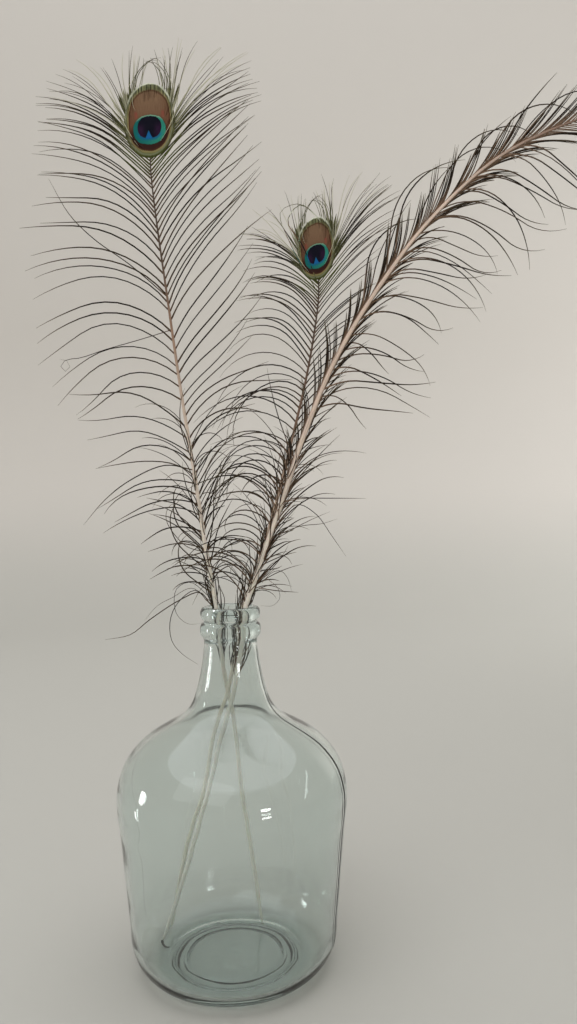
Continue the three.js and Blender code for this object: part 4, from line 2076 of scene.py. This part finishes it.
@dataclass(frozen=True)
class FloorFinish:
    """A dull pale floor, lighter on the wall it rises into, with painted light under the jar's foot.
    """

    wall: Colour = srgb(208, 204, 198)
    wall_height: float = 0.7
    floor: Colour = srgb(189, 188, 182)
    # Painted light: a near-white disc on the floor under the jar's foot, in place of the light that
    # comes through the glass.
    painted_foot_light: Colour = srgb(250, 249, 243)
    painted_light_radii: tuple[float, float] = (0.101, 0.084)
    roughness: float = 0.9
    grain_scale: float = 60.0
    bump: tuple[float, float] = (0.1, 0.002)

    def make(self) -> bpy.types.Material:
        """Make the material.

        Returns:
            The material.
        """
        tree = Tree("pale_floor")
        place = tree.object_place()
        x, y, height = tree.split(place)
        outer, inner = (radius**2 for radius in self.painted_light_radii)
        colour = tree.mix(height.step(0.0, self.wall_height), self.floor, self.wall)
        return tree.finish(
            # Painted light: the floor turns near-white in a soft disc under the jar's foot.
            Base_Color=tree.mix((x * x + y * y).step(outer, inner), colour, self.painted_foot_light),
            Roughness=self.roughness,
            Specular_IOR_Level=0.0,
            Normal=tree.bump(tree.noise(place, self.grain_scale, 3.0), *self.bump),
        )


@dataclass(frozen=True)
class Lamp:
    """A rectangular soft light: its place and target in metres, and its power in watts."""

    name: str
    place: Point
    target: Point
    size: tuple[float, float]
    power: float
    diffuse: bool = True
    glossy: bool = True

    def make(self) -> None:
        """Add the light, which the camera doesn't see."""
        data = bpy.data.lights.new(self.name, "AREA")
        data.shape = "RECTANGLE"
        data.size, data.size_y = self.size
        data.energy = self.power
        light = bpy.data.objects.new(self.name, data)
        light.location = self.place
        light.visible_camera = False
        light.visible_diffuse = self.diffuse
        light.visible_glossy = self.glossy
        ahead = Vector(self.target) - Vector(self.place)
        light.rotation_euler = ahead.to_track_quat("-Z", "Y").to_euler()
        bpy.context.scene.collection.objects.link(light)


JAR_MIDDLE = (0.0, 0.0, 0.2)


@dataclass
class Studio:
    """The floor, the lights and the camera, in metres."""

    camera_place: Point = (0.0658, -0.850, 0.489)
    camera_roll: float = 0.9
    focal_length: float = 27.18
    sensor_width: float = 36.0
    radius: float = 4.2
    sweep: float = 1.6
    floor_rings: tuple[float, ...] = (0.0, 0.6, 1.4)
    wall_rings: tuple[float, ...] = (3.0, 4.4)
    sweep_steps: int = 10
    steps: int = 96
    weld: float = 0.0001
    finish: FloorFinish = FloorFinish()
    sky: Colour = (0.99, 0.995, 1.0, 1.0)
    sky_strength: float = 1.25
    lamps: Sequence[Lamp] = (
        Lamp("front_softbox", (-1.4, -2.2, 2.6), (0, 0, 0.5), (3.4, 2.4), 30, glossy=False),
        Lamp("wall_wash", (2.6, 1.6, 1.6), (1.6, 4.2, 0.9), (1.0, 1.0), 22, glossy=False),
        Lamp("left_window", (-2.4, 0.06, 0.36), JAR_MIDDLE, (0.26, 0.5), 6, diffuse=False),
        Lamp("left_sill", (-0.62, 0.02, 0.05), JAR_MIDDLE, (0.018, 0.07), 0.04, diffuse=False),
        Lamp("right_window_high", (1.47, -2.16, 0.62), JAR_MIDDLE, (0.42, 0.13), 3, diffuse=False),
        Lamp("right_window_low", (1.47, -2.16, 0.24), JAR_MIDDLE, (0.42, 0.13), 3, diffuse=False),
    )

    def backdrop(self) -> None:
        """A pale round floor that sweeps up into a wall all the way round."""
        reach = self.radius - self.sweep
        outline = [(r, 0.0) for r in (*self.floor_rings, reach)]
        for step in range(1, self.sweep_steps + 1):
            turn = math.pi / 2 * step / self.sweep_steps
            rise = self.sweep * (1 - math.cos(turn))
            outline.append((reach + self.sweep * math.sin(turn), rise))
        outline += [(self.radius, z) for z in self.wall_rings]
        points = np.array([(r / MM, 0.0, z / MM) for r, z in outline])
        floor = spin("studio_floor", points, self.steps, self.weld, True)
        bpy.ops.object.shade_smooth()
        floor.data.materials.append(self.finish.make())

    def light(self) -> None:
        """Set up a pale sky, a softbox, a light on the wall and the jar's window glints."""
        world = bpy.data.worlds.new("studio")
        bpy.context.scene.world = world
        world.use_nodes = True
        background = world.node_tree.nodes["Background"]
        background.inputs["Color"].default_value = self.sky
        background.inputs["Strength"].default_value = self.sky_strength
        for lamp in self.lamps:
            lamp.make()

    def camera(self) -> None:
        """Set up the camera, level and slightly rolled."""
        data = bpy.data.cameras.new("camera")
        data.lens = self.focal_length
        data.sensor_width = self.sensor_width
        item = bpy.data.objects.new("camera", data)
        item.location = self.camera_place
        item.rotation_euler = (math.radians(90), math.radians(self.camera_roll), 0)
        bpy.context.scene.collection.objects.link(item)
        bpy.context.scene.camera = item

    def make(self) -> None:
        """Set the stage."""
        self.camera()
        self.backdrop()
        self.light()
        bpy.context.scene.view_settings.view_transform = "Standard"


def main() -> None:
    """Build the studio, the demijohn and the three feathers, and note the sizes."""
    logging.basicConfig(level=logging.INFO, format="%(name)s %(message)s")
    Studio().make()
    jar = Demijohn()
    jar.make()
    for describe in (left_feather, middle_feather, right_feather):
        describe(jar).make()


if __name__ == "__main__":
    main()
